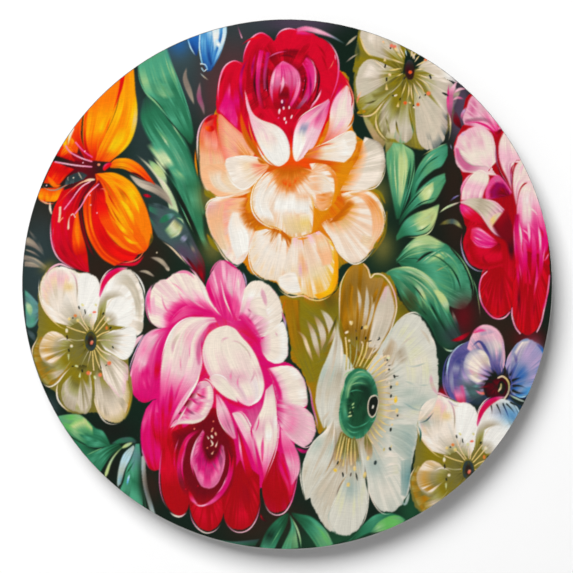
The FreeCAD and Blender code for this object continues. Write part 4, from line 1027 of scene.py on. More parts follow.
# the pale blossom at the left, which is repeated at the lower right
CREAM_BLOSSOM = """
L -74,-22 ; -70.6,-1 -76,4 -84,6.6 -91,6.4 -94.4,-2 -94.6,-12 -95.4,-20 -97,-27 -95,-35 -91,-39
  -87.5,-42 -84.6,-47.6 -79,-49.6 -74,-49 -68,-50 -60,-47 -58.6,-38 -59.6,-28 -57,-18 -60,-4 -66,4
  -70.6,-1 ; Zz33z/zz3z
W 3.4 2 30 z .7 ; -90.6,6.6
L -82.5,-16 -79,-14.4 -76,-15.4 -73.5,-16.4 ; -88,-14.4 -92.6,-8.4 -93.8,-1 -92.5,3.2 -89.5,6.3
  -85.5,7.6 -82,6.4 -78.8,5 -74.8,4.6 -71.6,2.6 -70.4,-2 -70.8,-8 -72.4,-14 ; z4niiie|x4wwwww/xniiwiw .6
L -79,-12 -76,-13 ; -79.6,2 -77,4.9 -73.8,4.2 -71.3,1.8 -70.7,-3 -72,-9 ; qwwww/4wwww 1
L -86,-12 ; -92,-7 -93,-1 -91.5,3 -88.6,5.6 -85,6.4 -81.4,3 ; 4iiei|iiiPi/wineP 1.4
S -84,6.4 -80.4,3 -79.4,-2 -79.8,-8 ; .9 t ; .8q.
W 2.2 1.8 0 e .95 ; -82.6,-1
W 2 1.6 0 d .5 ; -82.6,-1
S -93.6,3.6 -93.9,-2 -92.6,-8 -89.6,-12.6 -85.6,-16.2 -81.6,-17.4 ; .8 t ; qiieedq
S -91.6,1 -90,5.4 -86.2,7.6 -82.6,6.5 -79.2,5.2 ; 1.1 t ; n8PPP8
L -72,-15 -70,-12.4 -67,-10.4 -66,-12 ; -71.2,-4 -70.4,1.4 -67.5,5 -63.5,6.3 -59,5.8 -56.5,3 -54.5,-1
  -53.6,-6 -53.8,-12 -54.6,-18 -56.6,-20 ; z3x4wwwi|zzxqiinn/zxxqwwiw .6
R -71.3,-4 -70.2,1 -67.6,4.8 -64,6.5 -60,6.5 ; -70.8,-5.6 -68.6,-.6 -66.2,2.4 -63,4.7 -60,6 ;
  GkggP|8gkkP .5
S -71.2,-1.4 -70.3,1.6 -68,4.8 -65,6.5 ; .6 t ; PPiPP
R -65.4,3.6 -60.6,4.2 -57,-.4 -55,-7 -55.2,-14 ; -66,-.6 -61.4,-.8 -58.8,-4.4 -57.8,-9 -57.8,-13 ;
  .44q.|.n44./.4q4. .8
R -64,1 -61,-.6 -58.4,-4.6 -56.6,-9 -56.4,-15 ; -60.4,1 -57.6,-1.6 -56,-5.6 -54.8,-9 -55,-15 ;
  .4nq.|.wnn./.n4n. 1
S -59.6,5.8 -56.5,3 -54.3,-1.4 -53.7,-6 ; .9 t ; iwwwi
L -69.5,-13 -67,-15.6 ; -68.4,-6 -65.4,-4.5 -61.5,-4.2 -58.6,-6.4 -57.7,-10 -58.2,-14 -60.4,-16.6 ;
  x4wwww|44wwwi/xqwwww .7
S -68.6,-9.6 -66.6,-6 -63.6,-4.4 ; .6 t ; ei4
L -70.8,-19.4 -71.2,-21.6 ; -66,-17.3 -62.5,-17 -59.5,-15.8 -56.9,-17 -56.5,-20.5 -57.7,-25 -59.5,-28
  -62,-28.8 -65.5,-26.7 -69,-24.7 ; zx4www/zxxqiww .6
S -66,-17.2 -62.5,-16.9 -59.6,-15.8 ; .5 t ; .nq.
L -71.6,-25.4 -70,-24 ; -69.5,-36 -66.5,-39.5 -63,-43.6 -60.8,-42 -59.7,-36 -60,-31 -62.5,-28.9 ;
  zxqnn8|zx4nq8/3xqnin8 .6
L -73,-33 -71,-32 -69,-34 ; -73,-42 -71.6,-47.5 -69.3,-51.4 -66,-52.8 -62.4,-52.2 -60.2,-48.5 -59,-42
  -60,-36 ; zxqnie|Z3qne3/zqnnqe .6
R -60.4,-33 -59.6,-40 -60.8,-47 -62.6,-51 ; -58.8,-35 -58.2,-42 -59.4,-48 -61.4,-51.6 ; qxx4|x333/3zbx
  .7
L -71.6,-25.4 -70,-24 ; -69.5,-36 -66.6,-39.4 -63,-43.4 -61.2,-41.4 -60.4,-36 -61,-31.6 ;
  ..4ni|..qnn/..nii8 .6
S -73,-35.6 -73.1,-42 -71.6,-47.6 -69.2,-51.6 -66,-52.9 -62.2,-52.3 ; .7 t ; qiieiiq
L -79,-31 -77.5,-30.5 -75.5,-31 ; -85,-37.6 -85.7,-42 -84.3,-46 -81,-48.3 -76.5,-49.6 -74.2,-47
  -73.4,-41 -74.6,-34 ; Z33zx4qq|Zz3zxnnq/Zz33xqnxq .6
L -78,-34 ; -79.6,-44 -78,-48.6 -75,-47 -74,-40 ; 3zq|3qn/z4n 1
S -74,-33 -73.2,-40 -73.6,-46 -72.6,-50 ; 1.5 t ; 33zz3
S -86,-35.4 -87.1,-39.5 -86.6,-43.6 -84,-46.9 -80.8,-48.5 ; .9 t ; .eiieq
L -81,-27 ; -93.6,-19 -96.4,-25 -95.4,-31 -92.8,-36.2 -90,-38.4 -87,-37 -83,-31.5 ; z3x#x/z3xz# .7
L -81.8,-22 -82,-24.5 ; -85,-18.9 -88.6,-17.5 -91.4,-18.4 -93.6,-21.6 -94.2,-25.4 -92.4,-29.4
  -88.2,-30.4 ; zxneee|z3z#q/zxqeie .6
R -93.4,-26.8 -90,-29.4 -86.5,-29.2 ; -91.6,-31 -88.4,-32 -85.2,-30.4 ; qn3|.z. .8
R -91.8,-33.6 -88,-32.6 -84.6,-31.6 ; -90.4,-36.8 -87,-35.6 -84,-33 ; #eq|xnq/3qx .7
S -93.8,-19.4 -96.4,-24.6 -96,-30 ; .7 t ; qeeq
S -93.6,-36.6 -90.2,-38.7 -87,-37.2 -84.2,-33.8 -81.2,-30.8 ; .9 t ; qeiiieq
L -74.2,-21.3 ; -74.2,-16.8 -71.8,-18.6 -71,-21.5 -71.8,-24.6 -74.2,-26 -77,-24.6 -77.8,-21.3 -76.6,-18
  -74.2,-16.8 ; 333./33..
S -88,-22 -84,-20.6 -80,-22.4 ; .8 t ; .in.
"""

# its stamens
CREAM_STAMENS_OUT = """
S -75.4,-17.8 -77.6,-15.2 -79.6,-13.4 ; .6 s ; dee
S -76,-18.4 -79.6,-17.4 -83.6,-15.8 ; .6 s ; dde
S -74.9,-17.4 -77,-14 -78.6,-10 ; .6 s ; dee
S -74.1,-17.2 -74.2,-13 ; .5 s ; qee
S -73.6,-17.4 -73,-12 ; .6 s ; dew
S -73,-17.8 -71,-14.6 -68.8,-11.6 ; .6 s ; dde
S -72.5,-18.6 -70,-16 -67.7,-13.2 ; .6 s ; dde
S -72.1,-20 -70,-18.6 -67,-17.6 ; .6 s ; dde
S -71.9,-21.2 -69,-21 -66.6,-21.2 ; .6 s ; dqe
S -72.2,-22.8 -70,-25.2 -66.6,-26.8 ; .7 s ; dei
S -72.5,-23.8 -70.2,-27 -67.4,-29.4 ; .6 s ; dde
S -73,-24.6 -72,-28.6 -70.4,-32.4 ; .6 s ; dde
S -73.6,-25 -73.4,-29 -73.1,-32.8 ; .6 s ; dde
S -74.2,-25.2 -75,-28.6 -75.6,-31.4 ; .5 s ; dq3
S -75,-25 -76.6,-28 -78,-31 ; .5 s ; qxz
S -76,-24.2 -78,-27 -80.4,-29 ; .5 s ; Z3z
S -76.8,-21 -79.6,-21.2 -82.6,-20.6 ; .6 s ; qxq
S -76.6,-22.4 -79,-24 -81,-26.6 ; .4 s ; Zz3
L -74.2,-21.3 ; -74.2,-17.5 -72.5,-19 -72,-21.5 -72.5,-24 -74.2,-25.3 -76.1,-24 -76.6,-21.3 -75.9,-18.7
  -74.2,-17.5 ; DDss/sDZs .3
S -74.3,-23 -73.5,-21 ; 1.6 o ; HHh
S -83,-12.4 -81.8,-13.6 ; 1.6 o ; idd
S -79.6,-12.8 -78.8,-14.4 ; 1.7 o ; jdd
S -83.4,-16.4 -83.3,-18.6 ; 1.4 o ; jid
S -82,-22.6 -81.1,-24 ; 1.5 o ; dij
S -82.7,-26 -82.6,-29.4 ; 1.3 c ; xjj
S -80.4,-30.6 -78.8,-31.2 ; 1 o ; jjd
S -78.2,-32.4 -78.5,-35.4 ; 1.3 r ; xjj
S -75,-33.4 -73.8,-33.8 ; 1.5 o ; iiw
S -73.2,-34.4 -72.2,-36 ; 1.1 o ; jji
S -68.3,-12.4 -67,-13.8 ; 1.7 o ; dij
S -74.6,-11 -74.3,-12.4 ; 1.4 o ; djd
S -72.8,-7.2 -71.9,-8.3 ; 1.1 o ; jd
S -78,-7.2 -76.8,-8.3 ; 1.1 o ; jd
S -80.8,-11.4 -79.4,-12.3 ; 1.5 o ; HAH
S -73.8,-10.6 -72,-10.4 ; 1.1 o ; HHH
S -68.3,-15.6 -68.2,-17.4 ; 1.3 o ; HAH
D 1 H ; -67.3,-29.8 -75.2,-33.5 -70.7,-34.2
D .5 A ; -67,-29.5 -75,-33.3 -70.5,-34
S -78.9,-8 -78.5,-9.5 ; .8 o ; NN
S -76.6,-9.3 -76.2,-11.4 ; .6 o ; NN
S -81.4,-12.4 -80.7,-13 ; .7 o ; NN
S -83.3,-19 -83.1,-21 ; .8 o ; NDN
S -82.7,-24.2 -82.4,-25.6 ; .8 o ; NN
S -81.6,-31 -80.6,-31 ; .5 o ; NN
S -77.7,-32 -77.3,-33.4 ; .8 o ; NN
S -69.9,-11.6 -69.2,-10.5 ; .8 o ; NN
S -67.2,-17 -66.4,-15.8 ; .9 o ; NNs
S -66.2,-23.2 -65.6,-24.4 ; .7 o ; NNs
S -68.8,-30.6 -68,-30.5 ; .5 o ; NN
S -70.6,-30.6 -70.4,-32.2 ; .5 o ; NN
"""

# the pink rose: what lies under its petals, and the upper ones
PINK_ROSE_TOP = """
W 5 4 0 D .8 ; -51,-17
L -22,-24 ; -25,9.6 -17.6,5.4 -15.6,-1 -11,1.4 -5,-1.6 -2.4,-8 -3,-14.6 0,-19 .6,-27 -2,-29.6 2,-30.4
  6.8,-36 8,-46 6,-56 -4,-72 -20,-86 -40,-80 -50,-70 -52,-58 -54,-48 -50,-44 -56,-44.6 -59.6,-38
  -59,-30 -55,-20 -48.4,-16.6 -52,-13.6 -53,-6 -50,0 -44,3.6 -39,5.4 -34,2.6 -31,-1.6 -25,9.6 ;
  rgggg/gkggg
L -25,-12.4 -28,-12 -34,-12 -40,-13 -45,-16.6 ; -30.4,-2 -33,2.2 -36.5,5 -40,5.7 -43.5,4.5 -46,2.7
  -49,1.6 -51.5,-1 -53,-5 -53.3,-9.5 -51.9,-14 -48.5,-16.7 ; gpiiii|kgpPPP8/gGPiii .6
L -27,-11.5 -34,-9.4 -38,-8 -42,-10.5 -45,-14.6 ; -33,-2.4 -40,-2 -46,-4 -49,-9 -48,-14 ; gG../gG... 1.2
R -28,-10 -33,-8.4 -37.4,-7.4 -41.4,-9.6 -44.6,-14 ; -27,-12.2 -33,-12 -38,-12.4 -42,-14.6 -45.4,-16.4
  ; ggGGGG|gggGGg/gggGgg .8
S -46,1.6 -42,-.4 -38,-4.2 -33.6,-7.6 -28.6,-10.6 ; 1.1 t ; .pP8p.
S -35.4,4 -32.4,-.6 -30,-5.6 -26.4,-10.4 -23.4,-13.2 ; 1 t ; .iwiiP
S -49.6,1.4 -52.8,-3.4 -53.4,-8.6 -52.1,-13.6 -50,-16 ; .9 t ; 8YYuuG
S -50,-3 -51,-8 -49.5,-13 ; 2.4 t ; .PP.
L -25,-12 -22,-13.6 -20,-14.6 -18,-15.4 ; -31.2,-1.6 -29.5,3.6 -27.3,7.6 -24.7,10 -22.3,8.3 -19.5,6.7
  -17.6,5.6 -16,2 -15.5,-2 -16.2,-7 -16.4,-12 ; gggGGu|gGpPPP/gGGPPp .6
R -31,-.6 -29.8,-5 -27.4,-9.4 ; -29.8,3 -28.4,-2 -26,-8 ; gggg|GggG .7
R -25.6,3.6 -24.8,-2 -22.8,-8 -19.6,-14.4 ; -22.6,2 -21.6,-4 -20.4,-9 -18.4,-14.6 ;
  .Ggggk|.pGggk/.Pgggk 1
S -25.8,4.4 -24.6,-1 -23.4,-6 -20.4,-13 ; .9 t ; .PPiiP
S -22,6 -21.8,0 -20.4,-6 ; 2.4 t ; .PP8.
S -18.6,4 -18.4,-2 -17.8,-8 ; 1.6 t ; .iPP.
S -24.6,9.8 -27.4,7.4 -29.6,3.4 ; .8 t ; YuuGG
S -17.2,5.5 -15.8,2 -15.3,-1.6 ; .8 t ; .YYYu
L -18.6,-12.4 -16,-14.4 -14,-17.4 -11.6,-20.4 ; -16.3,-1.6 -13.8,1.3 -10.8,2.1 -7.5,.8 -4.6,-2
  -2.4,-5.5 -1.4,-9.5 -1.8,-13.5 -4.2,-16.6 -7.6,-19.8 ; g8iiii|gu8iii/gPPwii .6
S -9.8,-.6 -8.8,-5 -7.6,-9 ; 2.4 t ; .888.
R -14,-6 -12,-4.4 -9.6,-4 ; -15,-11 -11,-12 -6.4,-14 ; iii|8ii .9
S -17.6,-10 -14.4,-14 -11,-17.6 ; 2 t ; .GgG.
S -15.4,-8.6 -12.4,-12 ; 1 t ; .uP.
L -9.4,-20.4 -10.4,-23 -9.6,-26 ; -4.8,-16.6 -1.4,-13.8 .4,-17.8 .8,-23 .5,-27 -1.5,-29.7 -4.5,-30.1
  -7.6,-28.6 ; GPiiww/u8iiwi .6
S -4.8,-17.6 -3.4,-20 ; .8 t ; .8.
S -2.4,-9.6 -1.2,-13 -.2,-17 ; 1.2 t ; YuYY
R -24,-13.2 -19,-17 -14,-21 -11,-25 -9.4,-28.8 ; -20,-14.4 -16.4,-13.6 -13,-17.6 -10.2,-21 -9,-27.4 ;
  Ggkkgg|gggggg/ggkggg .8
R -19,-12 -15,-16 -11.4,-19.6 -9.4,-23 ; -16.6,-11 -13.4,-14.4 -10.6,-18 -9,-21.6 ; gggG|GGG8 .9
R -44.6,-16.3 -50.6,-16.8 -54.6,-19.8 -57.2,-25 -59.2,-31 -60,-36 -58.6,-41.4 -55,-44.8 ; -44,-16.8
  -46,-21 -47.4,-26 -48.3,-31 -48.8,-36 -49.6,-40 -51,-43.8 -54,-45 ; gPPPPpGgg|ggggggggk/gGPpGGggg .6
R -49,-18 -53,-20.4 -56,-25.4 -58.4,-32 ; -47.6,-19 -50.4,-24 -52.4,-29 -54,-35 ; PPPPp|.8pP./PPpPG 1
R -55.4,-31 -56,-36 -54.4,-41 ; -52,-29 -51.6,-34 -51,-40 ; .Ggg|.ggg/.gGg 1
S -57.2,-29 -58.8,-33 -59.2,-37.4 -57.6,-41.6 ; .7 t ; .pP8pG
S -50,-17.2 -54.4,-19.8 -57.2,-25 -59.4,-31 -60,-36.4 ; .6 t ; .YY8YY
S -46.4,-20 -48.4,-27 -49.4,-34 -50,-41 ; 2.6 t ; gggkgg
R -27.4,-12.3 -33,-12.1 -37.5,-12.5 -41.5,-14.8 -44.8,-19 -46.8,-25 -47.9,-31 -48.4,-38 -49,-45
  -48.6,-52 ; -26,-14.6 -29.4,-15.6 -31.6,-20 -32.3,-25 -31.8,-29 -32.4,-33 -34,-37 -37,-41 -39.6,-46
  -41.4,-52 ; Piiiiiipggg|gPPpPPPpGgg/PiiiiiPpGgg .6
R -30.5,-15.4 -33.6,-20 -34.8,-26 -34.4,-31 ; -28.6,-16 -31.6,-21 -32.2,-26 -32.6,-31 ; .puu.|gGuGu .8
S -39.5,-17 -42.8,-22 -43.6,-28 ; 1.8 t ; .n8.
S -32.4,-12.3 -37.6,-12.7 -41.6,-15.1 -44.7,-19.4 -46.8,-25.4 -47.9,-31 ; 1 t ; iwwwwii
R -23,-15.4 -27,-16.5 -30.3,-19 -32,-23 -32.4,-27 -31.2,-31.6 -29,-35.6 -24.5,-39.6 -20.5,-42.8
  -17,-45.3 -13.6,-46.3 ; -22,-15.6 -19.3,-17 -16.8,-20 -14,-23 -11.5,-27 -10,-31 -8.8,-35 -8.4,-39
  -9.5,-42.6 -11.5,-45 -13.6,-46.3 ; iiiiPPPP8Pi|iiiiiiiwwww/iiiiii8iiPw .6
W 7 9 0 i .7 ; -24,-24
S -22.6,-21.4 -18.6,-21.8 -14.8,-25.4 -13.2,-30 ; .9 t ; .8nn8.
S -24,-25 -24.4,-21 -21,-20 ; 1.2 t ; .i8.
W 5 3.6 -20 8 .6 ; -22,-35.6
S -20.6,-31.6 -21.4,-34.6 -20.8,-38 ; 1.2 t ; .8p8.
S -17.6,-33 -18.8,-37 -17.6,-41 ; 1 t ; .8p8.
S -13.6,-32 -12.6,-34 -14.4,-38 ; 1 t ; .88.
S -14.4,-45.6 -11,-43.6 -9,-39.6 ; 1.4 t ; .ww.
R -29.8,-35.2 -27,-34.2 -24,-35.2 -21.5,-38 -19.6,-42 -18.4,-44.6 ; -29.5,-35.7 -27.8,-38.8 -25.5,-41.2
  -23,-43 -20.5,-44.1 -18.4,-44.9 ; iiiiiw|8Piiii/Piiii8 .5
S -29.8,-35.1 -27,-34.1 -24,-35 -21.4,-38 ; .6 t ; iwwi
S -51,1 -52.6,-6 -51,-13 ; 2 t ; .pGp.
S -44,4 -38,4.6 -34,1 ; 1.4 t ; .pp.
S -48,-2 -46,-9 -41,-13 ; 1 t ; .PpG.
S -43,1 -40,-5 -35,-9.6 ; .9 t ; .ipG.
S -39,2.6 -35,-3 -30,-9.6 ; 1 t ; .iPpG
S -30.6,-16 -32,-20.6 -32.6,-25.6 ; 1.4 t ; .Gug.
S -37,-14 -39.6,-20 -40.4,-27 -40,-35 ; 1.1 t ; .iiip.
S -34.6,-15 -36.6,-22 -37,-30 ; .8 t ; .PPp.
S -42,-16 -44.6,-22 -45.6,-30 ; 1 t ; .wii.
S -38,-33 -41,-39 -43,-46 ; 1.2 t ; .pGg.
S -43.6,-30 -45.6,-38 -46.6,-46 ; 1 t ; .pGg
"""

# leaves at the left edge
LEAVES_FAR_LEFT = """
R -99.6,9 -96,8.6 -91.4,6.6 ; -99.6,6.6 -96,6.2 -91.4,5.9 ; EqqE|EEq
R -99.5,-1.5 -97,-3.6 -94.4,-6.6 -92.6,-9 ; -99,-15.6 -97.4,-16.8 -95,-15.6 -93,-11 ; S$$T|$tS$/t$$T .8
S -99,-6 -97.5,-9 -97,-12.6 ; 2.6 t ; .lf.
S -98.6,-16.8 -96.4,-19.4 -95,-22 ; 2.4 t ; sSs
"""

# the pink rose: its heart and lower petals
PINK_ROSE_LOW = """
W 4 9 10 D .95 ; -51,-76
R -51,-43.6 -54,-48 -55.6,-54 -55.6,-60 -54.4,-65 -52.6,-69.4 -50,-70.9 ; -49,-43 -48,-50 -47.6,-56
  -47.4,-62 -47.4,-67 -48.4,-70.4 ; ggggggkL|ggkkkLL/gGgggk .6
S -51.6,-47 -54,-52 -54.6,-57.6 ; 2 t ; .G.
S -55,-62 -53.8,-66 -52.4,-69.6 ; .6 t ; YuU
R -50,-48 -48.6,-56 -47.8,-64 -48.2,-72 -47.8,-78 -46,-83.4 -43,-87 -40,-87.8 ; -40,-50 -38,-58 -37,-66
  -37,-74 -36.6,-80 -37,-84 -38.4,-86.6 -40,-87.8 ; gkgkLkLL|kLKKKLLL/gkLkLLL .6
R -52,-47 -51.4,-54 -49.6,-62 ; -41,-49 -42,-57 -44,-65 ; .gk.|.gk./.kL. .8
S -46,-58 -45,-66 -45,-76 ; 2.6 t ; .kk.
S -44.8,-85.8 -42.6,-87.4 -40.2,-87.7 -37.6,-86 ; 1 t ; PiiP8
S -46.8,-60 -48,-67 -48.3,-75 -47.2,-81 -44.8,-85.6 ; .6 t ; kuuuP
L -30,-76 ; -37.4,-80 -37.2,-84 -36,-88.6 -33.8,-92.2 -30.4,-93.9 -27,-92.8 -24.4,-89 -22,-80 ;
  LKLLL/LLkL .6
S -37.1,-84 -36,-89 -33.6,-92.4 -30.4,-94 -27,-92.9 -24.6,-90 ; .7 t ; uuPiPu
L -18,-66 ; -25,-80 -24,-88.6 -22.6,-91.6 -19.6,-93.4 -16.4,-93.5 -13.4,-91.6 -11.2,-87.4 -10.2,-82
  -10.4,-72 ; KLLLL/KKKkL .6
S -16.6,-74 -15.4,-81 -15,-88 ; 3.4 t ; .KKL.
S -24.4,-87.6 -22.4,-91.2 -20,-93.3 -17,-93.7 -14,-92.2 -11.6,-88.6 -10.4,-84 -10,-79 ; .7 t ; .uPPPukk
L -5,-62 ; -9.8,-76 -9.4,-80 -8.4,-83.4 -6.7,-86 -4,-87.1 -1,-86 1.2,-83 2.7,-78.6 3.6,-73 3,-66 ;
  LLLLL|kgkLg/KLLL .6
R -4.6,-64 -3.4,-70 -1,-76 .6,-81 ; -1,-62 1.4,-68 3.2,-74 2.4,-80 ; .gkk|Gggk/.gGk .8
S -9,-80.6 -8.4,-83.2 -6.7,-86 -4,-87.2 -1,-86.2 1.4,-82.6 2.8,-78 3.8,-73 4.7,-68 ; .8 t ; uPPPGGGu
L -30,-64 ; -44,-56 -39,-53.6 -34,-50 -28,-46 -24,-50 -20,-58 -18.8,-66 -19.6,-74 -23,-80.4 -28,-83.4
  -34,-83.4 -38.4,-80 -41.6,-73 -42.8,-64 -44,-56 ; MmmmK/mMmmL .8
R -33,-54.4 -38,-57 -40.8,-62.4 -42,-69 -41,-75.6 -38.6,-80.6 ; -32,-55 -36.6,-58.6 -39,-64 -39.6,-70
  -38.8,-75 -37,-79 ; .gGGGu.|.kkkmm./.gkgm. .6
S -34,-55 -38.2,-60 -39,-68 ; .8 t ; .G.
S -37.4,-77 -36,-81 -33.6,-83.6 ; 2 t ; .kGP
S -35.6,-82.4 -33,-83.7 -29.6,-82.8 -26,-80 -23,-75.6 -21,-70 -20,-63 ; 2.4 t ; PGGgggk.
S -35.6,-82.9 -32.4,-83.7 -29,-82.6 ; .7 t ; .PP.
S -28,-80.6 -24.6,-76.6 -22.4,-71 ; .6 t ; .pP.
L -31,-56 -31.6,-61 -29.5,-66 -26.8,-64 -25.2,-60 ; -31.8,-54.6 -35,-60.5 -36.4,-67 -34.7,-72.5
  -32.4,-76.8 -28.6,-77.4 -25.6,-74.6 -23.8,-68 -24,-61 ; mgGgGp|m0UUup/mgGpup .6
R -33,-60 -34.6,-66 -34,-71 ; -31,-62 -31.4,-67 -31,-72 ; .gg|.0G/.gG 1
L -30,-64 ; -34.6,-73 -32.6,-76.4 -29,-77 -26.4,-75 -25,-71 ; ..gG|..UGp/..gpu .6
S -31.8,-54.8 -34.6,-59.6 -36.3,-66 -35.6,-71 -34.4,-73.6 ; 1 t ; .8PGg
S -24.2,-60 -23.7,-65.6 -24.7,-71.4 -26.8,-75.8 ; .8 t ; .upu.
W 3.6 4.6 0 m .95 ; -28.6,-60
S -28,-54 -28.7,-56 ; 1 o ; eHe
S -27.3,-55.6 -26.8,-57.4 ; 1 o ; HeH
S -28.9,-56.8 -28,-58.4 ; 1.1 o ; eie
S -30.6,-56.8 -29.5,-58.6 ; 1 r ; eie
S -29.2,-58.4 -28.2,-60.4 -29.4,-61.4 ; .9 t ; eiee
S -26,-58.4 -27.2,-61.8 ; 1.1 r ; eeiH
S -27.4,-62.4 -28.7,-64.4 ; 1.2 r ; He
D .4 H ; -30.2,-61.8 -35.1,-54.6 -27.9,-51.8
D .3 k ; -38.4,-77.4 -33.8,-76.2
L -44,-53 -41,-49 -38,-44.5 -35.5,-40.5 -34,-37.5 ; -44.5,-54.4 -40,-52.4 -33.4,-52.2 -30,-49.6
  -27.9,-46 -27.3,-41.6 -28.3,-38 -30.6,-36.3 -33.4,-37 ; GGPPi|guP8P/mPGi8 .6
S -39.5,-45.6 -37,-48 -34,-49.6 ; 1.4 t ; .gU.
S -37,-42.6 -34.6,-44.6 -31.6,-46 ; 1.2 t ; .gu.
S -35,-40.4 -33,-42 -30,-43 ; 1 t ; .kU.
S -45,-54.8 -40.6,-52.4 -35,-52 -31.6,-50.6 -28.9,-47.4 ; 1.7 t ; .PiiiiP
S -33,-36.4 -30.6,-35.8 -28.4,-37.6 -27.4,-41 ; .7 t ; .PiP.
S -32.9,-31.2 -34.4,-37 -37.8,-42 -41.6,-48 -45.6,-56 ; 2.4 t ; PPPpPGk|P8PPPpG
S -32.9,-31.2 -34,-36.4 -37.2,-41.4 ; .6 t ; .iwi
R -24.5,-42.5 -20,-46.6 -17,-50 -14.6,-55 -13.4,-61 ; -19,-45 -14,-47 -9.6,-44 -9.6,-50 -12,-58 ;
  gguGG|ggGGG/kguG .8
R -26.6,-41.6 -23,-44 -19,-46 -16,-47 ; -26,-43.6 -22,-48 -19.6,-52 -18,-54 ; kggG|kggG 1
R -27.3,-41.3 -26.8,-47 -25.6,-52 -23.4,-55.8 -20.4,-58.8 ; -26.6,-41 -24,-44 -21.8,-48 -20,-53
  -18.9,-58.6 ; GPiPppp|gG8uUup/8PPp8p .6
S -26.9,-43 -26.3,-49 -24.6,-53.6 -21.6,-57.6 ; .7 t ; .iPi8
R -19.4,-54 -18.4,-60 -17.4,-66 -15,-74 ; -18.6,-54 -17,-58 -15,-64 -12.4,-72 ; mkkL|mkkL
S -18.9,-53.5 -18,-60 -17.1,-66 -15.2,-73.4 ; 1.1 t ; .uPGg.
R -21.1,-48.8 -19.4,-52.6 -16.8,-57.6 -14.4,-62.6 -12.4,-68 -10.5,-73 ; -20.8,-48.2 -17.6,-48.2
  -15,-51.4 -12.7,-57 -11.7,-63 -10.3,-72.8 ; 8PPGGkg|PiiP8Gg/iPPGGg .6
S -20.6,-48.2 -17.4,-48.2 -14.8,-51.4 -12.5,-57 -11.5,-63.6 ; .7 t ; PiwiP8
R -8.4,-40 -9.6,-46 -11.8,-51 -13.1,-55 -12.4,-60 -11,-65 -9.6,-70 -8.9,-75.4 ; -5.4,-37 -4.2,-43
  -3.5,-50 -3.2,-56 -3.9,-61 -5.6,-66 -7.6,-71 -8.7,-75.4 ; uPiPPGgkk|8iiwiiPPg/8ii8iPGk .6
S -7.6,-50 -7,-56 -7.4,-61 ; 3.4 t ; .iw.
S -9,-56 -9.4,-62 -9.4,-68 ; 1.6 t ; .GGk
S -8.9,-75.2 -7,-70.4 -4.9,-65 -3.5,-59 -3.2,-53 -3.8,-46 -5.2,-39 ; .7 t ; GPPPPiP
L -7.5,-31.5 -5.6,-36 -4,-42 -3,-48 ; -3,-30.9 1,-30.6 4.2,-32 6.6,-35.5 7.9,-40 8,-45.4 5,-47 ;
  G8iiiw|gPii8/uPiiwi .6
R -8.6,-30.4 -6.2,-35.4 -4.3,-41 -3.2,-47.4 ; -8.2,-30 -4.6,-34.4 -2,-40 -1,-46.6 ; kkgg|.guG/kgg. .9
L -3.6,-43 -3.8,-48 -3,-53.4 ; 1,-45 6,-46.2 10,-49.6 11.3,-54.6 10.4,-58.4 8,-61.4 5.6,-61.6 2,-59.4
  -1,-56.4 ; gG8PPiP|gPp8PP/uPp8P8 .6
S -3,-52.6 0,-56.4 3.4,-59.6 6.4,-61.6 9,-60.8 11,-57 ; .6 t ; .PPPPP
S 2.6,-61.4 6.4,-63.2 9.4,-61.8 ; 1.8 t ; 0g0U
S 7.4,-36.4 8.8,-41 9.6,-46 11.2,-52 11.6,-56 ; 1 t ; YYuuYu
R -2.8,-54 -2.4,-60 -1,-66 .6,-71 1.4,-76 ; -2.4,-54 1,-58 3.8,-62.4 5.1,-67 4.7,-71.6 1.8,-76.4 ;
  pGGPpG|PPpp8GP/PpGpPG .6
R -3.6,-58 -3.6,-63 -2.4,-68 0,-74 ; -2.6,-58 -2.2,-63 -.6,-68 1,-74 ; kgkk|ggkk .6
S -58.6,-25 -57,-21.6 -54,-18.6 ; 2.2 t ; P8PP
S -12.6,-51 -13.6,-55.6 -12.6,-60 ; .9 t ; .GgG.
S -10.6,-49 -11,-53 -12.4,-56.6 ; .8 t ; .GG.
S -43.6,-36 -44,-44 -45,-52 ; 2 t ; .gk.
S -46.6,-40 -47,-47 -47,-54 ; 1.6 t ; .gk.
S -37.4,-45 -40.6,-50.6 -44.6,-56.4 ; 1 t ; PiP.
S -32.9,-31.2 -34,-36.4 -37.2,-42 -41,-48 ; 1 t ; .iwiP
S -36,-56.4 -39,-63 -39.8,-70 -38.4,-77 ; 1 t ; .gGg.
S -23,-60 -21.6,-67 -23,-74 -27,-79.6 ; .9 t ; .kgG.
S -40.6,-57 -42.6,-64 -42.4,-71.6 ; .8 t ; .ukg.
S -10.4,-86 -9.4,-88.6 -7,-90 ; 1 t ; .KM.
"""

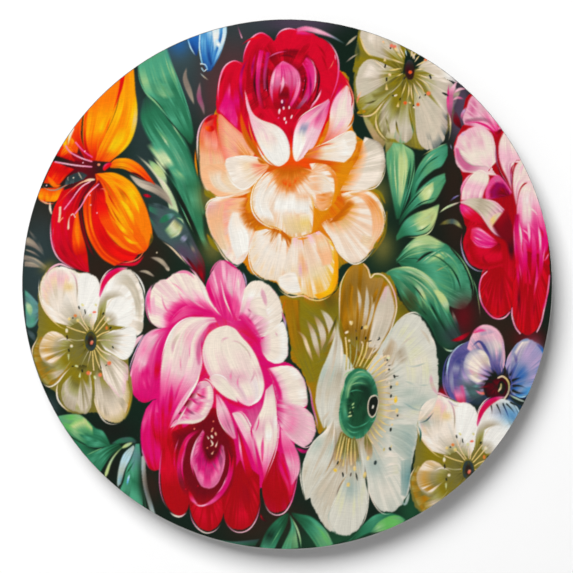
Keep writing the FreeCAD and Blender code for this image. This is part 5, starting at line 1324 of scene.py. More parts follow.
# the olive petals behind the white anemone
OLIVE_FLOWER = """
L 24,-24 ; -3,-4 6,-4.6 12,-5.6 18,-2.6 20,1.6 23,6.4 27,9 30,8 31.6,5 36,5.4 40,3 42.4,-4 47,-11
  42,-15 38,-24 37,-36 33,-44 27,-46 20,-50 14,-56 11,-56 9,-44 5,-33 1,-28 .6,-20 -2,-10 -3,-4 ;
  3B33#/B3z33
W 4 5 0 Z .6 ; 16,-6 45,-8
R -2,-5 -.6,-14 .8,-22 3.6,-29 8,-38 ; 5,-5.6 5.4,-14 6.6,-22 8.6,-28 11.4,-37 ; ###33|B33zz/#B33 .8
S 0,-4.6 -1.6,-9 -1.2,-13.6 ; 1 t ; .6#.
S 12,-8.8 15.4,-13 16.9,-18.6 14.4,-24 ; 3.4 t ; .4nn+.
S 9.6,-10.8 12.6,-16 13.6,-21 12.6,-26 ; 3 t ; .+nn+.
S 6.8,-12.6 9.4,-17.6 10.8,-22.6 12.6,-29.4 ; 2.6 t ; .+nn+.
S 2.8,-16.8 6,-19.6 7.6,-23.6 10.2,-30.6 ; 1.9 t ; .+ee+.
S 15,-20 13.4,-25 12.8,-30 ; .7 t ; .z3z
S 19.4,-10 17.4,-16 15,-22 13,-28 ; 1.6 t ; .Z3z.
L 22,-20 26,-24 30,-28 33,-27 ; 19.8,-12 20,-4 21.6,2.6 24.6,7.2 28.6,8 31.4,3.2 36,3 39.6,-1.4 41.2,-8
  40.2,-15.6 36,-23 ; zB#BB#|++n+++/3B#B# .6
R 25.8,-14 24.8,-8 25.4,-1 ; 23.6,-14 22.6,-6 23.4,2 ; .B#|.BB/.## 1
R 30,-24 31.6,-15 33.4,-8 36.8,-.4 ; 34.6,-24.6 38.8,-17 41,-9 38.6,.2 ; n4n4n|i4nnn/ni48 .8
S 37,-.6 33.6,-8 31.8,-14.6 ; .7 t ; .##.
S 26.3,0 27.4,-6 27.2,-13 ; 1.7 t ; .nn+.
S 29.8,1 30.2,-5 29.6,-12 28,-19 ; 2.2 t ; .n4n+.
S 31,-2.6 32.4,-7 31.4,-13 29.2,-19 ; 1.8 t ; .n4n.
S 34.8,0 33,-5 32,-9 ; 1.6 t ; .#B.
S 25,7.6 22,4 20.3,0 19.8,-5 19.7,-12 19.4,-18 ; .7 t ; heeeqn
S 28.4,8.2 30.4,6 31,4.2 31.6,2.6 33.2,3.9 36,3.5 38.7,.6 40.7,-4 41.3,-9 40.3,-13.6 38.6,-18.4
  35.6,-22.6 31.6,-26.6 ; .8 s ; heee8en%n%
R 36,-21 33,-26 ; 41,-16.6 42,-27 ; 3++|n+n 1.4
"""

# green leaves between the anemone and the peony
GREEN_LEAVES_MID = """
W 6 8 0 m .95 ; 67.4,-13
W 5 3 0 V .9 ; 62,-26
R 37.6,5 42,6.3 47,5.7 52,3 56.6,-1.6 60,-7 62.6,-12 65.5,-18 67,-21 ; 38,3.6 41,-1 43.4,-6 46.4,-10
  51,-12.5 54.4,-17 56.6,-22 60,-25 64,-24 ; tFlfftttSs|TTTVvvVVvV/TtTTtTTvVV .6
S 40,5.2 45,6 50,4.4 54.6,.6 58,-4 61,-9.6 ; 1.7 t ; .ffllfF.
S 46,3 49,-.4 51.4,-4.6 53.8,-10.6 ; 2.4 t ; .Fl9F.
S 48,-1 50,-6 51.4,-10 ; 1.6 t ; .tF.
S 54.4,-1.4 57.4,-3.8 59.8,-7.6 61,-12 ; 3.4 t ; .999lF.
S 55,-3 56.4,-8 58.4,-13 ; 1.2 t ; .Ft.
S 42,0 45,-5 48,-9 ; 1.4 t ; .tT.
S 53,-5 55.6,-10 59,-16 61,-20 ; 1.5 t ; .VvVV
S 62,-9 63.6,-13.6 65.6,-18 ; 1.6 t ; .Es.
W 4 4 30 s .8 ; 62,-19
S 69.4,4 71.4,-1.6 72.4,-7 73.2,-14.4 ; .6 t ; .fTxn.
S 61,-21.4 65,-20.6 68.4,-18.6 70,-17 ; 2.2 t ; .KkK.
S 58.2,-23 60.6,-24.9 63.6,-25 66,-23.4 ; .9 t ; .lc.
S 42,4 47,2.6 52,-1 56,-6 59,-12 ; .7 t ; .flfF.
S 44,1.6 49,-2 53,-8 ; .7 t ; .TVv.
S 47,4.6 52,2 57,-3.6 ; .6 t ; .l9l.
S 50,-3 54,-9 58,-16 ; .8 t ; .tFt.
S 46,-4 50,-8.6 54,-13 ; .9 t ; .vTV.
S 57,-6 60,-11 63,-17 ; .8 t ; .FtT.
"""

# the violet flower at the lower right
VIOLET_FLOWER = """
W 2.4 2.4 0 K .9 ; 58.6,-41
L 78,-38 ; 69,-20 62,-25 59.2,-32 59.2,-39 62,-44.4 68,-46 74,-46 79,-45 85,-46 90,-47.6 95,-44 97,-36
  97,-26 92,-20.6 86,-23 83,-28 81,-20 75,-15.6 69,-20 ; MD=NN/MNJN .8
L 78,-35 76,-38 76,-41 ; 68.5,-20.6 66,-22.4 63,-24 60.8,-27.6 59.4,-31.6 58.8,-36 59.4,-40 61.4,-43.4
  64,-45 67.6,-45.6 ; DWWXX|DsSXX/5YW=X .6
R 67,-24.6 63.4,-26.6 61.4,-31 61,-36 61.6,-41 ; 70,-25.6 66,-28.6 63.6,-33 63.2,-38 64.6,-43 ;
  ==XWX|XXWWu/X=WX .8
S 66,-27 64,-31 63.6,-37 ; 3 t ; .=WX.
R 65.2,-31 65.6,-35 67,-39 69,-43 ; 68,-31 70,-35.6 73,-39 74,-43 ; WWSs|YWSs/XYSs 1
R 62.6,-38 62.8,-42 64.4,-45.4 ; 67,-37.6 67.8,-41.6 68,-46 ; .Gk|uGk/.pk .9
W 4.4 2.6 0 s .9 ; 72,-43.4
W 3 1.6 -10 $ .5 ; 70.4,-41
S 69.4,-21.4 64.8,-23.4 61.6,-27.4 60.4,-33 60.8,-39 ; .9 t ; WcWcWY
S 63.6,-23.6 60.2,-28.6 59,-34 59.3,-39 61.2,-43 64,-45.2 ; 1 t ; .X=Xuk
L 79,-35 80.6,-34.6 ; 67.4,-24 69,-19.6 70.6,-16.8 74,-15.1 77.4,-15.6 80.4,-18.4 82,-22.6 82.4,-27.6
  81.8,-31.6 ; D=X=WP|DX8PPPP/5XW8P .6
R 76.4,-30 73.8,-24 71.6,-19.4 ; 81,-29.4 81.4,-23 78.6,-17.6 ; XWW8|XWiPP/XPiP .9
L 78,-34.2 76.6,-36.2 ; 76,-26.6 72.6,-24 69,-24.6 66.6,-27.6 66.2,-31.6 68,-35.4 71.4,-37.6 ;
  5WniW|5u8YW/XYiiW .8
S 76.6,-30 74,-26 71,-25 ; 2.2 t ; .nii.
S 69.4,-24 72.6,-21.6 75.6,-25.6 78.2,-31 ; 1.7 t ; X==X.
S 69,-19.8 71.4,-17 75,-15.8 79,-17.6 81.4,-21.6 82,-27 ; 1.9 t ; kGPPP8YW
S 70,-18.6 73,-17.4 76,-17.6 ; 1.6 t ; kGG8
S 68,-31 71.4,-34.6 75.6,-36.4 ; 2 t ; .8nY.
S 69,-38.6 72,-38.4 76,-37.8 ; 1.6 t ; .$5.
S 70.4,-39.6 73.6,-41.2 78,-40.2 ; 1.5 t ; .pHQ.
L 79,-38.6 ; 75.6,-36 76.6,-34.4 79,-34.6 81.6,-34.2 84,-35.8 85.2,-38.6 84.4,-41.6 82.6,-44.4 79,-45
  76,-43.4 74.4,-41.6 74,-38.6 75.6,-36 ; DMMN/MmMN
S 79.6,-35.6 76.4,-33.4 72.6,-31.4 ; 2 c ; NN=X
S 78.6,-36 74.8,-34.6 71.6,-33 ; 1.9 c ; NN5X
S 79.8,-35.2 77.6,-32.4 75.4,-30.4 ; 1.9 c ; NN=X
S 80.2,-35 79,-32 77.4,-29.6 ; 1.6 c ; N==X
S 80.8,-34.8 80.2,-31.6 79.2,-29 ; 1.4 c ; N==X
S 81.4,-34.6 81.4,-31.6 80.8,-29.6 ; 1.4 c ; N==
S 77.8,-37 74.6,-36.4 72.4,-36.6 ; 1.6 c ; NN5
S 77.6,-38.4 74,-38.8 71.4,-39.6 ; 1.7 c ; Mm5
L 83.6,-34.6 84.8,-37 83.8,-40 ; 82.2,-31 84,-26.2 87,-21.8 90.6,-20 94.4,-21.4 97.4,-25 98.4,-30
  95,-38 91.4,-41.6 88,-42.4 85,-41.4 ; =XWWW|JIWIC/XWYW .6
R 84,-30 85.4,-25.6 88.4,-21.2 ; 88,-30 90,-25 92.4,-20.8 ; XYi|WWi/Wii 1
W 3 5 10 Y .7 ; 91.6,-29 94,-26
W 3 4 0 I .6 ; 88.6,-34
W 4 2 0 C .6 ; 91.6,-39.6
S 84.6,-24 86.4,-28 86.6,-31 ; 1.6 t ; .WX.
S 82.8,-32 83.4,-28 85.4,-24.2 ; .7 t ; .Y8Y
S 93.4,-22 96,-24 97,-27 ; 1.6 t ; .XIC
S 84,-34.8 85.4,-32 86.6,-30 ; 1.6 c ; N==
S 83,-34.4 83.4,-31.6 84.6,-29.4 ; 1.4 c ; N==
S 84.6,-36.6 87,-35.6 89.2,-35.2 ; 1.7 c ; NNJ
S 84.8,-38.4 88.2,-38.4 91,-39.6 ; 1.6 c ; NNJ
S 84.6,-39.8 87.4,-41 90.6,-41.2 ; 1.9 c ; NNJ
S 85,-41.2 88.4,-42.6 92,-41.6 ; .8 t ; .Cc.
S 83.8,-42 87,-44.6 90.6,-46 ; 2.2 t ; NNNs
S 83.2,-41.2 86,-42.8 89.4,-44.2 91.6,-44.4 ; .9 t ; xl@&
S 79.3,-35.5 81.4,-34.8 83.3,-36.4 83.9,-39 83.2,-41.6 81.4,-43.8 78.8,-45 ; .95 s ; eedxqexq
L 81.4,-38.6 ; 81.4,-36.4 82.7,-38.6 81.8,-41.4 80.2,-41.8 79.4,-39.6 80,-37 81.4,-36.4 ; NDNN
S 80.8,-37.2 80.7,-39 79.6,-40.8 ; 1.1 o ; dxed
"""

# the white anemone and its green heart
WHITE_ANEMONE = """
L 28,-50 ; 36,-22 42,-13 48,-10.8 53,-15 57,-24 57.6,-38 56,-46 50,-51.4 49.6,-58 47,-70 46,-80
  40,-86.6 34,-84.6 30.5,-78 30,-86 26,-94 20,-95.4 14,-92.6 9,-82 6.8,-81.6 5.2,-74 6,-66 10,-59
  14.6,-54.4 11,-48 10.8,-40 16,-26 22,-26 28,-34 36,-22 ; Bq4%%/+q4%@ .8
L 36,-25 37,-30 37.4,-36 37.6,-42 40,-48 ; 41,-15.6 44,-12 48,-10.5 51.4,-12.6 54.4,-17.6 56.8,-24
  57.2,-31 57.9,-37 57.2,-42.6 55,-47 52,-50.6 48.4,-51.6 ; +%%%%%|@@%%%%/n%%7%% .6
R 41,-25 43,-31 44,-38 44,-46 ; 54,-24 55,-32 54,-40 50,-47 ; .%%%|.%%@/.7%% 2
R 39,-19 37,-24 35.6,-28 ; 42,-22 42,-27 40,-32 ; n+q|4n+/n4n 1.4
R 40,-27 41.6,-24 44.6,-21 ; 41,-32 43.6,-30.4 47,-28.6 ; .4%|.n%/.q. 1.4
W 4 2.4 20 @ .9 ; 46,-41 51,-44
W 3.6 2 0 & .5 ; 46,-45.6
W 5 3 45 i .5 ; 50,-30
S 49.4,-16 52.6,-19.6 54.6,-24 ; 1.4 t ; .n4.
S 53,-18 55.4,-22 56.4,-27 ; 1 t ; .i%.
S 40.4,-15.8 43.8,-12.2 48,-10.6 51.2,-12.4 ; .9 t ; n4%i%
S 54.2,-33 54.8,-38 57.4,-42.6 ; 2 t ; .8n8.
R 56.9,-42.4 53.6,-43.4 50.6,-46 49.2,-51.4 ; 56.8,-43 55.6,-46.8 53,-50 49.6,-51.8 ; eiii|%i4e/%iie .5
S 49.6,-51.2 50.4,-46.6 53.2,-43.4 ; .5 t ; .n&.
D .35 v ; 57,-30.6 57.4,-33 57.8,-35.4
L 27,-60 29,-58.6 31,-57 32.6,-55 33.4,-52 ; 28.8,-70 30.4,-77.4 33.4,-83.8 36.6,-86.7 40.4,-86.3
  44,-83.4 46,-78.4 47,-70 48.8,-62 49.6,-56.4 47.6,-52.4 43.6,-50.6 ; q@%%%%|+@%@@@/q4%%%% .6
R 38,-52 43,-52.6 47,-54 49.4,-57 ; 38,-60 42,-63 45,-66 47.4,-67 ; @@&@|%@@&/%@@ 1.4
R 42.7,-66.6 42.6,-73 42.6,-80 ; 47.3,-65 46.8,-73 45.2,-80.6 ; &&@|@$&/@&& .7
S 42.6,-81 44.6,-83 46.4,-78 ; 1.6 t ; .&@&
R 35.6,-64.6 38.6,-63 42.4,-63.6 ; 36,-74 39,-73 42.4,-72 ; .%%|.%7/.i% 1
W 4 4 30 & .6 ; 33,-69
W 3 2 0 @ .7 ; 36,-55
W 4 4 0 i .5 ; 38,-78
S 28.8,-68 30.2,-76 33,-83.2 36.4,-86.7 40.4,-86.5 ; .7 t ; @%ii%
S 48.8,-52.4 50.4,-56 50,-61 ; 1 t ; .$v.
L 20,-66 22,-66 ; 12.6,-74.6 9,-79 8.8,-82.6 11.4,-88 14.4,-92.6 17,-93.4 20,-84 23,-76 ;
  Bq44%|+n44%/q4n%4 .6
L 19,-67 22,-68 ; 13.6,-75.6 11,-79.6 13,-83 16,-84.6 19,-82 ; .444|.n4%/.%n4 1
L 24,-66 26,-66.5 28,-67 ; 18,-82.6 15.9,-86.4 16,-90.6 18.6,-94.8 22.4,-95.6 26.6,-93.4 29.4,-88.4
  30.6,-80.6 29.6,-72.6 ; q4@%%%|&@%%%%/@4%7%% .6
W 3 4 10 & .55 ; 24,-77
S 18,-83 15.8,-86.6 16,-90.8 18.8,-95 ; .6 t ; .@%i
S 29.6,-72 30.7,-80 29.6,-88 26.8,-93.4 ; .7 t ; .i%i@
R 18.9,-12.6 17.4,-20 15,-27 12.4,-33 10.8,-39 10.6,-44.6 11.7,-50 13.6,-55 ; 19.3,-12.6 20.2,-19.6
  21.5,-25.6 21.5,-32 20.4,-38 18.8,-44 17.4,-49 14.4,-54.8 ; z4%%%%%4|zn4%q4%%q/x%%@4%% .6
S 19.1,-15 18.6,-22 17.2,-31 14.8,-40 ; 1.5 t ; .qn4.
S 20,-18 20.6,-26 20,-34 ; 1.4 t ; .%i%.
S 16.6,-47 14,-50.6 12.6,-53 ; 1.4 t ; .n4.
R 17.6,-50.4 14,-55 10.4,-58.6 7.6,-63 5.6,-68.6 5.1,-74 6.7,-82 ; 17.8,-50.4 18.5,-57 17.9,-63
  15.6,-68.6 12.6,-73.4 9.6,-77.8 7,-82.2 ; %%%%%%4|4+4%%4n/%i@%4%% .6
S 17.6,-53 15,-60 11.6,-67 8.4,-74 ; 1.5 t ; .n4n.
S 5.4,-67 5,-73 6.4,-81 ; .6 t ; .i%n
S 17.9,-51 18.5,-57 17.9,-63 15.6,-69 12.6,-74 ; .9 t ; .qE+.
S 17.8,-82 20,-76 23.4,-71 ; .8 t ; .E+.
S 30.7,-80 29.7,-73 29.2,-67 ; 1.1 t ; .VE.
S 56,-47.6 52.6,-51.4 49.4,-52.4 ; .8 t ; .S&
R 20,-55 18.6,-60 18,-66 ; 26,-58.6 27.4,-63 28.4,-68 ; BZzq|Z3z&/zBz4 .9
R 34,-36 38,-37 40,-39 ; 33.6,-56 37,-55 39.6,-52 ; +n.|+@./xn. 1.2
S 42,-30 48,-31 54,-29 ; 1 t ; .%@.
S 43,-36 49,-38 55,-38 ; 1.2 t ; .@%@.
S 42,-24 47,-20 52,-19 ; 1 t ; .n%.
S 43,-44 48,-47 53,-48 ; 1 t ; .&@.
L 27,-45 ; 27,-31.2 24,-32.4 21.8,-35.6 20.8,-40 19.7,-45 19.3,-50 20.5,-54.8 23,-57.8 26.4,-58.9
  29.4,-57.6 31.9,-54 33.8,-50 34.6,-45 34.3,-40 33.2,-36 30.8,-32.6 27,-31.2 ; VvvTT/vvVTt .6
R 21.4,-44 22.2,-38 24.4,-34 28,-32 31,-33.4 ; 23.4,-43 24.6,-38.6 27,-36 30,-35 32.6,-36.6 ;
  TfFFF|TTTTT/FfFtF .9
R 24,-37 28,-35.6 32,-37.4 ; 24,-40 28,-38.6 32.4,-40.4 ; .Fv|.Tv/.tT 1.2
W 3 5 0 V .8 ; 30,-41
S 20.4,-46 20,-51 21.6,-55.4 25,-57.9 29,-57 ; 1.5 t ; .tFFtT
W 4 3 0 v .9 ; 27,-53
S 21.6,-51.4 25,-54 29,-53 32,-50.6 ; .8 t ; .tTt.
S 21.4,-53.6 25,-56 29.6,-54.6 ; .7 t ; .FtT.
S 22,-41.4 26,-40 30,-41 ; .6 t ; .tT.
S 22.4,-39 26.6,-37.2 31.4,-38 ; .6 t ; .fF.
S 23,-36.6 27,-34.8 31.6,-35.6 ; .6 t ; .fF.
S 24.6,-34.2 27.6,-33 30.8,-33.8 ; .5 t ; .lf.
S 24.2,-46 25.5,-44.6 ; .9 t ; f9
S 23.4,-47.2 25.6,-46.2 ; .8 t ; f9
S 22.9,-48.8 25.2,-47.8 ; .9 t ; f99
S 22.4,-50.2 24.8,-49.4 ; 1 t ; 997
R 20.2,-44 20.6,-48 21.4,-52 ; 22.6,-43 23,-48 24,-52 ; .tT|.tT/.Ft 1
L 32.4,-46 ; 33.6,-41.6 31.4,-42.2 30.3,-45 30.4,-48.6 31.7,-50.6 33.2,-50 34.3,-47 34.7,-43.6
  33.6,-41.6 ; nnnn .3
L 32.5,-46 ; 33.5,-42.1 31.6,-42.8 30.7,-45.4 30.8,-48.3 31.8,-50 33.1,-49.2 34,-46.4 34.4,-43.7
  33.5,-42.1 ; NNNN .3
S 32.6,-45.4 32.2,-47.2 ; 1 o ; @i%
S 30.4,-51.4 32.4,-51.8 34,-49.6 ; .5 t ; .t.
S 20.6,-36 22.6,-33.6 25.6,-32.4 ; .8 t ; .lf.
S 19.9,-46 20.6,-41 22,-37 ; .9 t ; .Ff.
S 24,-44 24.4,-48 26,-52 ; 1.2 t ; .vVv.
S 21.4,-56 19.6,-62 17.4,-69 ; 3.6 t ; zz+.
S 25.4,-57 25,-63 24,-71 ; 4 t ; zz+.
S 29.4,-56 30.6,-61 31.6,-67 ; 3.4 t ; zz+.
"""

# its stamens and their tips
ANEMONE_STAMENS = """
S 22.2,-32.6 22.5,-26 22,-19.6 ; .8 s ; xdde
S 23.5,-32.2 23.9,-26 23.7,-22.4 ; .7 s ; xxx
S 24.6,-31.8 26,-27 26.5,-21 ; .7 s ; xxq3
S 25.8,-31.4 28,-26 28.7,-22.4 ; .8 s ; xdde
S 27.2,-31.2 29.6,-26 30.4,-21.6 ; .8 s ; ddde
S 28.6,-31.6 31.4,-26.6 33.4,-22.6 ; .7 s ; xdeq
S 29.8,-32.2 33,-27.6 34.4,-26 ; .8 s ; dded
S 30.9,-33 34.4,-29 37.6,-26.8 ; .8 s ; ddde
S 31.8,-34.2 35.4,-31 37.6,-29 ; .9 s ; xdde
S 32.6,-35.6 36,-33 38.4,-31.8 ; .8 s ; xdde
S 33.2,-37.2 36.4,-36.2 39,-35.4 ; .7 s ; xde%
S 33.8,-39 37,-38.8 39.4,-38 ; .7 s ; xd4
S 34.4,-41 37.4,-41 39,-41.4 ; .6 s ; xd+
S 34.8,-43 37.6,-43.4 40.4,-43.4 ; .7 s ; xde
S 34.8,-45 37.6,-45.6 40.6,-45.2 ; .7 s ; xd4
S 34.6,-47 38,-47.8 41,-47.6 ; .7 s ; xde
S 34.4,-49 37.6,-50.2 40.4,-51 ; .7 s ; xde
S 34,-50.4 36.6,-52.6 39,-53.4 ; .7 s ; xd4
S 33.2,-52 35.4,-54.4 37.4,-56 ; .8 s ; xde
S 32.2,-53.4 34.2,-56.2 36.2,-58 ; .8 s ; xde
S 31.2,-54.8 32.8,-57.6 34.6,-59.8 ; .7 s ; xd4
S 30,-56.4 31.2,-58.6 32.6,-60.6 ; .6 s ; xde
S 29.8,-57 30.2,-59.6 30,-64.6 ; .5 s ; x+4
S 20.8,-56 19.6,-61 18.4,-66.6 ; .7 s ; xdd
S 21.8,-57 20.6,-62 19.4,-68.6 ; .8 s ; xdd+
S 22.6,-57.6 21.9,-63 21,-69 ; .7 s ; xxd
S 23.4,-58 22.8,-63 22.4,-72 ; .7 s ; dd+q
S 24.4,-58.4 24.1,-64 24.2,-68.6 ; .7 s ; xde
S 25.4,-58.8 25.6,-64 25.8,-70 ; .6 s ; xd+
S 26.6,-58.9 27.2,-63.6 27.8,-68 ; .5 s ; xq&
S 23.8,-14.4 25,-14.8 ; 2 o ; iddi
S 23.6,-13.6 24.4,-15.6 ; 1.4 o ; id
S 29.2,-15.4 30.2,-17 ; 2.2 o ; jddi
S 21.6,-18.6 23.4,-17.6 ; 1.3 o ; eid
S 22.8,-21.6 24,-21 ; 1.4 o ; dee
S 31,-20.2 31.8,-22.6 ; .8 t ; ded
S 28,-21.4 28.6,-22.6 ; .8 o ; ee
S 35.2,-26.6 36,-28.2 ; 1.5 o ; ie
S 38,-26.4 38.4,-28.6 ; 2 o ; ieji
S 38.4,-36.4 38.6,-38 ; .8 o ; %e
S 41.6,-36.4 41.4,-38.6 ; 1.6 o ; ded7
S 41.2,-41.8 40.8,-45.2 ; 1.7 o ; ddyd
S 41.6,-46.6 41.2,-49 ; 1.6 o ; dde
S 40,-52.6 39.2,-53.6 ; 1 o ; de
S 36.8,-61.6 36.4,-63.2 ; 1 o ; xd
S 39.6,-60.4 39,-62 ; .6 o ; 7d
S 30.6,-64.6 30.4,-66.8 ; 1.6 o ; ddd
S 29.6,-70.6 29,-73.6 ; 1.6 o ; ddx
S 25.4,-68.4 25.5,-70.8 ; 1.6 o ; edd
S 18.8,-69.4 17.6,-70.9 ; 1.9 o ; ddyd
S 23.2,-74.6 22.9,-76.8 ; 1.7 o ; dd
S 28.4,-15.6 28,-17.2 ; .9 o ; NN
S 26.2,-19.6 26.2,-21.2 ; .7 o ; ND
S 29.7,-19.6 29.5,-21 ; .8 o ; NN
S 25.8,-16.8 26.2,-18.4 ; .5 t ; DE
S 30.6,-21.5 32,-21.3 ; .5 o ; NN
S 34.6,-19.6 34.8,-20.6 33.8,-21.2 ; .7 t ; sNN
S 37.6,-29 38,-28.2 ; .9 o ; NN
S 38.2,-32.6 38.8,-31.8 ; .9 o ; NN
S 38,-30.8 39.4,-30.4 ; .5 t ; DE
S 40.2,-34 40.8,-35.6 ; 1 o ; NN
S 40.6,-34.8 42.4,-34.6 ; .5 t ; NE
S 39.3,-38 39.1,-39.6 ; 1 o ; NN
S 39.3,-41.4 39.1,-43 ; .9 o ; NN
S 41.2,-49.4 42.2,-49.8 ; 1.1 o ; NN
S 39.2,-54 39,-55.8 ; 1.1 o ; NNs
S 38.6,-61.4 39.2,-63 ; 1.2 o ; NsN
S 33.6,-66.4 33,-68.4 ; 1.5 o ; NsN
S 19.4,-66.6 18.8,-68.2 ; .8 o ; NN
S 20.9,-70.8 21.2,-73 ; .9 o ; NNs
S 24.2,-71 23.8,-73 ; .8 t ; DE
S 25.8,-70.8 26.2,-72.4 26.6,-74.6 ; .8 t ; NNE
"""

# darks and cool tints between the violet flower and the pale blossom below it
BLOSSOM_TINT = """
W 5 4 -40 C .75 ; 84,-49
W 4 3 -40 I .4 ; 86,-50
W 4 3 0 W .5 ; 80,-48
W 3 2 0 $ .4 ; 52,-52
S 81.4,-45 83,-48.4 84,-51 ; .8 c ; NJJ
S 82.6,-44.8 85.2,-47.6 86.6,-50 ; 1 c ; NNJ
S 84,-44.4 87,-46 88.8,-48 ; 1.2 c ; NNN
S 60,-42.8 63,-45.6 67.4,-46.4 ; .6 t ; .Yi.
S 81.4,-44.6 83,-48.4 84,-51 ; .8 c ; NJJ
S 79,-45 80.4,-48 81,-50.6 ; 1 c ; NNJ
S 77,-45.4 77.4,-48 77,-50 ; .9 c ; NQ.
"""

# leaves at the bottom
LEAVES_LOW = """
W 12 8 0 D .9 ; -3,-88 -14,-92
W 20 6 0 v .9 ; 20,-97
W 6 10 0 v .95 ; 47,-86
W 3 5 0 z .8 ; 51,-64
R 0,-86 -4,-88.6 -8,-93 -11,-100 ; 1,-86.4 0,-91 -3,-97 -5,-101 ; VvTTv|vvTt/vTVt .6
R .6,-87 1,-92 -1.6,-98 -3,-101 ; 1.4,-87 3.4,-92 4.6,-100 ; TvTv|vtfF/TtFt .6
S .8,-86.8 3.4,-91.6 4.8,-96 5.4,-101 ; 1 t ; vflfT
S -1,-90 -4,-95 -7,-100 ; .6 t ; .F.
R 1,-86 5,-86.6 10,-88 15,-93 18,-99 ; 2,-87.6 5.6,-92 9,-96.4 12,-101 ; VTTtft|vvTTT/vTtFF .6
R 8,-89 12,-91.6 15.6,-95.6 17.6,-99 ; 9,-91 12,-95 15,-99 ; .F!F|.tf/.!F .8
R 26,-94 29.4,-90 33,-87 38,-86 43,-87.4 46,-90 ; 24,-97.6 30,-94.6 36,-93 42,-91 46,-90.6 ;
  vTtTTT|vTTTvv .6
R 31.6,-93 34.6,-89.6 38.4,-87.4 42,-87.2 45,-89 ; 31,-94.6 36,-93.6 40,-92.4 44,-90.4 ;
  .!!!FT|.F!ff/.f!!F .6
R 24,-97 20,-98 16,-98.6 ; 27,-93.4 24,-96 20,-97.2 ; TVv|TVv
R -10,-96 -20,-97 -26,-96.4 ; -12,-99 -20,-99 -27,-97.6 ; sSt|vTs .6
"""

# leaves and pale blades at the lower left
LEAVES_LOW_LEFT = """
W 9 5 0 N 1 ; -66,-55
W 3 5 20 s 1 ; -89,-46
W 3 8 -25 N 1 ; -66,-70
R -84.6,-55 -80,-58.4 -76,-61 -71,-62.4 ; -82,-62 -79,-66 -76,-66 -70,-62 ; vTTvV|VTTTV .6
R -78,-66 -73,-63.2 -68,-60.8 -63.6,-59.4 ; -72.6,-75 -69.2,-69 -66.4,-65 -62,-61.6 ; TtTvV|TTTvv/tTtTv
  .6
S -76.2,-64.7 -73,-63.2 -69.4,-61.6 ; .7 t ; fFf
R -88,-49.8 -83,-48.9 -78.6,-48.9 -75.4,-51.2 -72.4,-54 -69.6,-55.2 -67.6,-58.4 -66.5,-61.2 ; -88,-51.6
  -84.2,-55.6 -80.6,-58.8 -77,-61.2 -72,-62 -68.6,-61.6 -66.7,-61.5 ; tFffFTTTTT|ttTTTTTvv/tF!fFTtTv .6
L -78,-56.6 -73,-57.6 ; -83.4,-53.4 -80.4,-50.8 -77,-50 -73.4,-53.8 ; .!99/.F9! 1
S -80,-56 -75,-58.4 -70,-59.6 ; 2 t ; .TtT.
S -71.6,-55.4 -69.2,-57.4 -67.6,-60 ; .7 t ; .tT.
S -84.6,-55.8 -79,-59.2 -74,-61.8 ; .9 t ; .VvV.
R -66.6,-59.9 -62.8,-57.8 -58.8,-57.6 -56.4,-59.4 ; -66.4,-60.6 -63,-60.4 -60,-60 -57.4,-60.4 ;
  STSTs|sTTSs .6
R -58,-60.2 -62,-63.8 -63.9,-69 -64.6,-75 -63.8,-77.4 ; -57.4,-62 -59,-66 -61,-70 -62.2,-74 -63.3,-77.4
  ; $@c@c@|$$@@$@/@c@@ .6
R -57.6,-60 -59,-65 -61.2,-70 -62.4,-75 -65,-80 ; -55.6,-60 -54.8,-68 -54.2,-76 -52.6,-88 ;
  $$tttT|sSTTTVV/t$tTtt .6
S -59.4,-71 -60.2,-74 -60.7,-76.6 ; 1.1 t ; .cC.
S -57.6,-64 -58.4,-69 -58.2,-75 ; 2 t ; .$t.
S -57.4,-66 -59.4,-69.4 -61.4,-72.4 ; .8 t ; .Tv.
S -62.2,-75.2 -63.4,-76.2 -63.8,-77.6 ; .8 t ; .NN
W 1.5 9 4 V .85 ; -54.9,-74
S -58,-59.8 -61,-60.8 -64,-63.2 -66.8,-67.2 -69,-73.4 ; 2 r ; xl9l99|l!9l99
S -58,-59.6 -60.6,-60.8 -63,-62.2 ; 1.9 t ; .9l99.
S -54.4,-64.4 -54.3,-70 -53.5,-76.6 -51.8,-83 -50.4,-88 ; 2.2 s ; @%%%@c@|@c%c@@
S -54.9,-60 -54.7,-63 -54.2,-66 ; .8 t ; .Yu.
"""

# from the pale blossom at the left to the one at the lower right
TO_RIGHT_BLOSSOM = (142.7, -48.8)

# the pieces of the painting, in the order their strokes are laid
PARTS = [
    ("ground", GROUND),
    ("leaves_left", LEAVES_LEFT),
    ("leaves_left", TEAL_LEAF),
    ("leaves_left", LEAVES_FAR_LEFT),
    ("leaves_low", LEAVES_LOW),
    ("leaves_low", LEAVES_LOW_LEFT),
    ("bellflower", BELLFLOWER),
    ("orange_lily", LILY),
    ("leaves_right", LEAVES_RIGHT),
    ("leaves_right", GREEN_LEAVES_MID),
    ("olive_flower", OLIVE_FLOWER),
    ("peach_petals", PEACH_BASE),
    ("cream_blossom_top", CREAM_BLOSSOM_TOP),
    ("crimson_rose", CRIMSON_ROSE),
    ("peach_petals", PEACH_PETALS),
    ("peach_petals", PEACH_LOWER),
    ("peony_right", PEONY_RIGHT),
    ("cream_blossom_top", CREAM_STAMENS),
    ("violet_flower", VIOLET_FLOWER),
    ("pink_rose", PINK_ROSE_TOP),
    ("pink_rose", PINK_ROSE_LOW),
    ("cream_blossom_left", CREAM_BLOSSOM),
    ("cream_blossom_left", CREAM_STAMENS_OUT),
    ("cream_blossom_right", CREAM_BLOSSOM, *TO_RIGHT_BLOSSOM),
    ("cream_blossom_right", CREAM_STAMENS_OUT, *TO_RIGHT_BLOSSOM),
    ("violet_flower", BLOSSOM_TINT),
    ("white_anemone", WHITE_ANEMONE),
    ("white_anemone", ANEMONE_STAMENS),
]

# ---------------------------------------------------------------- nodes

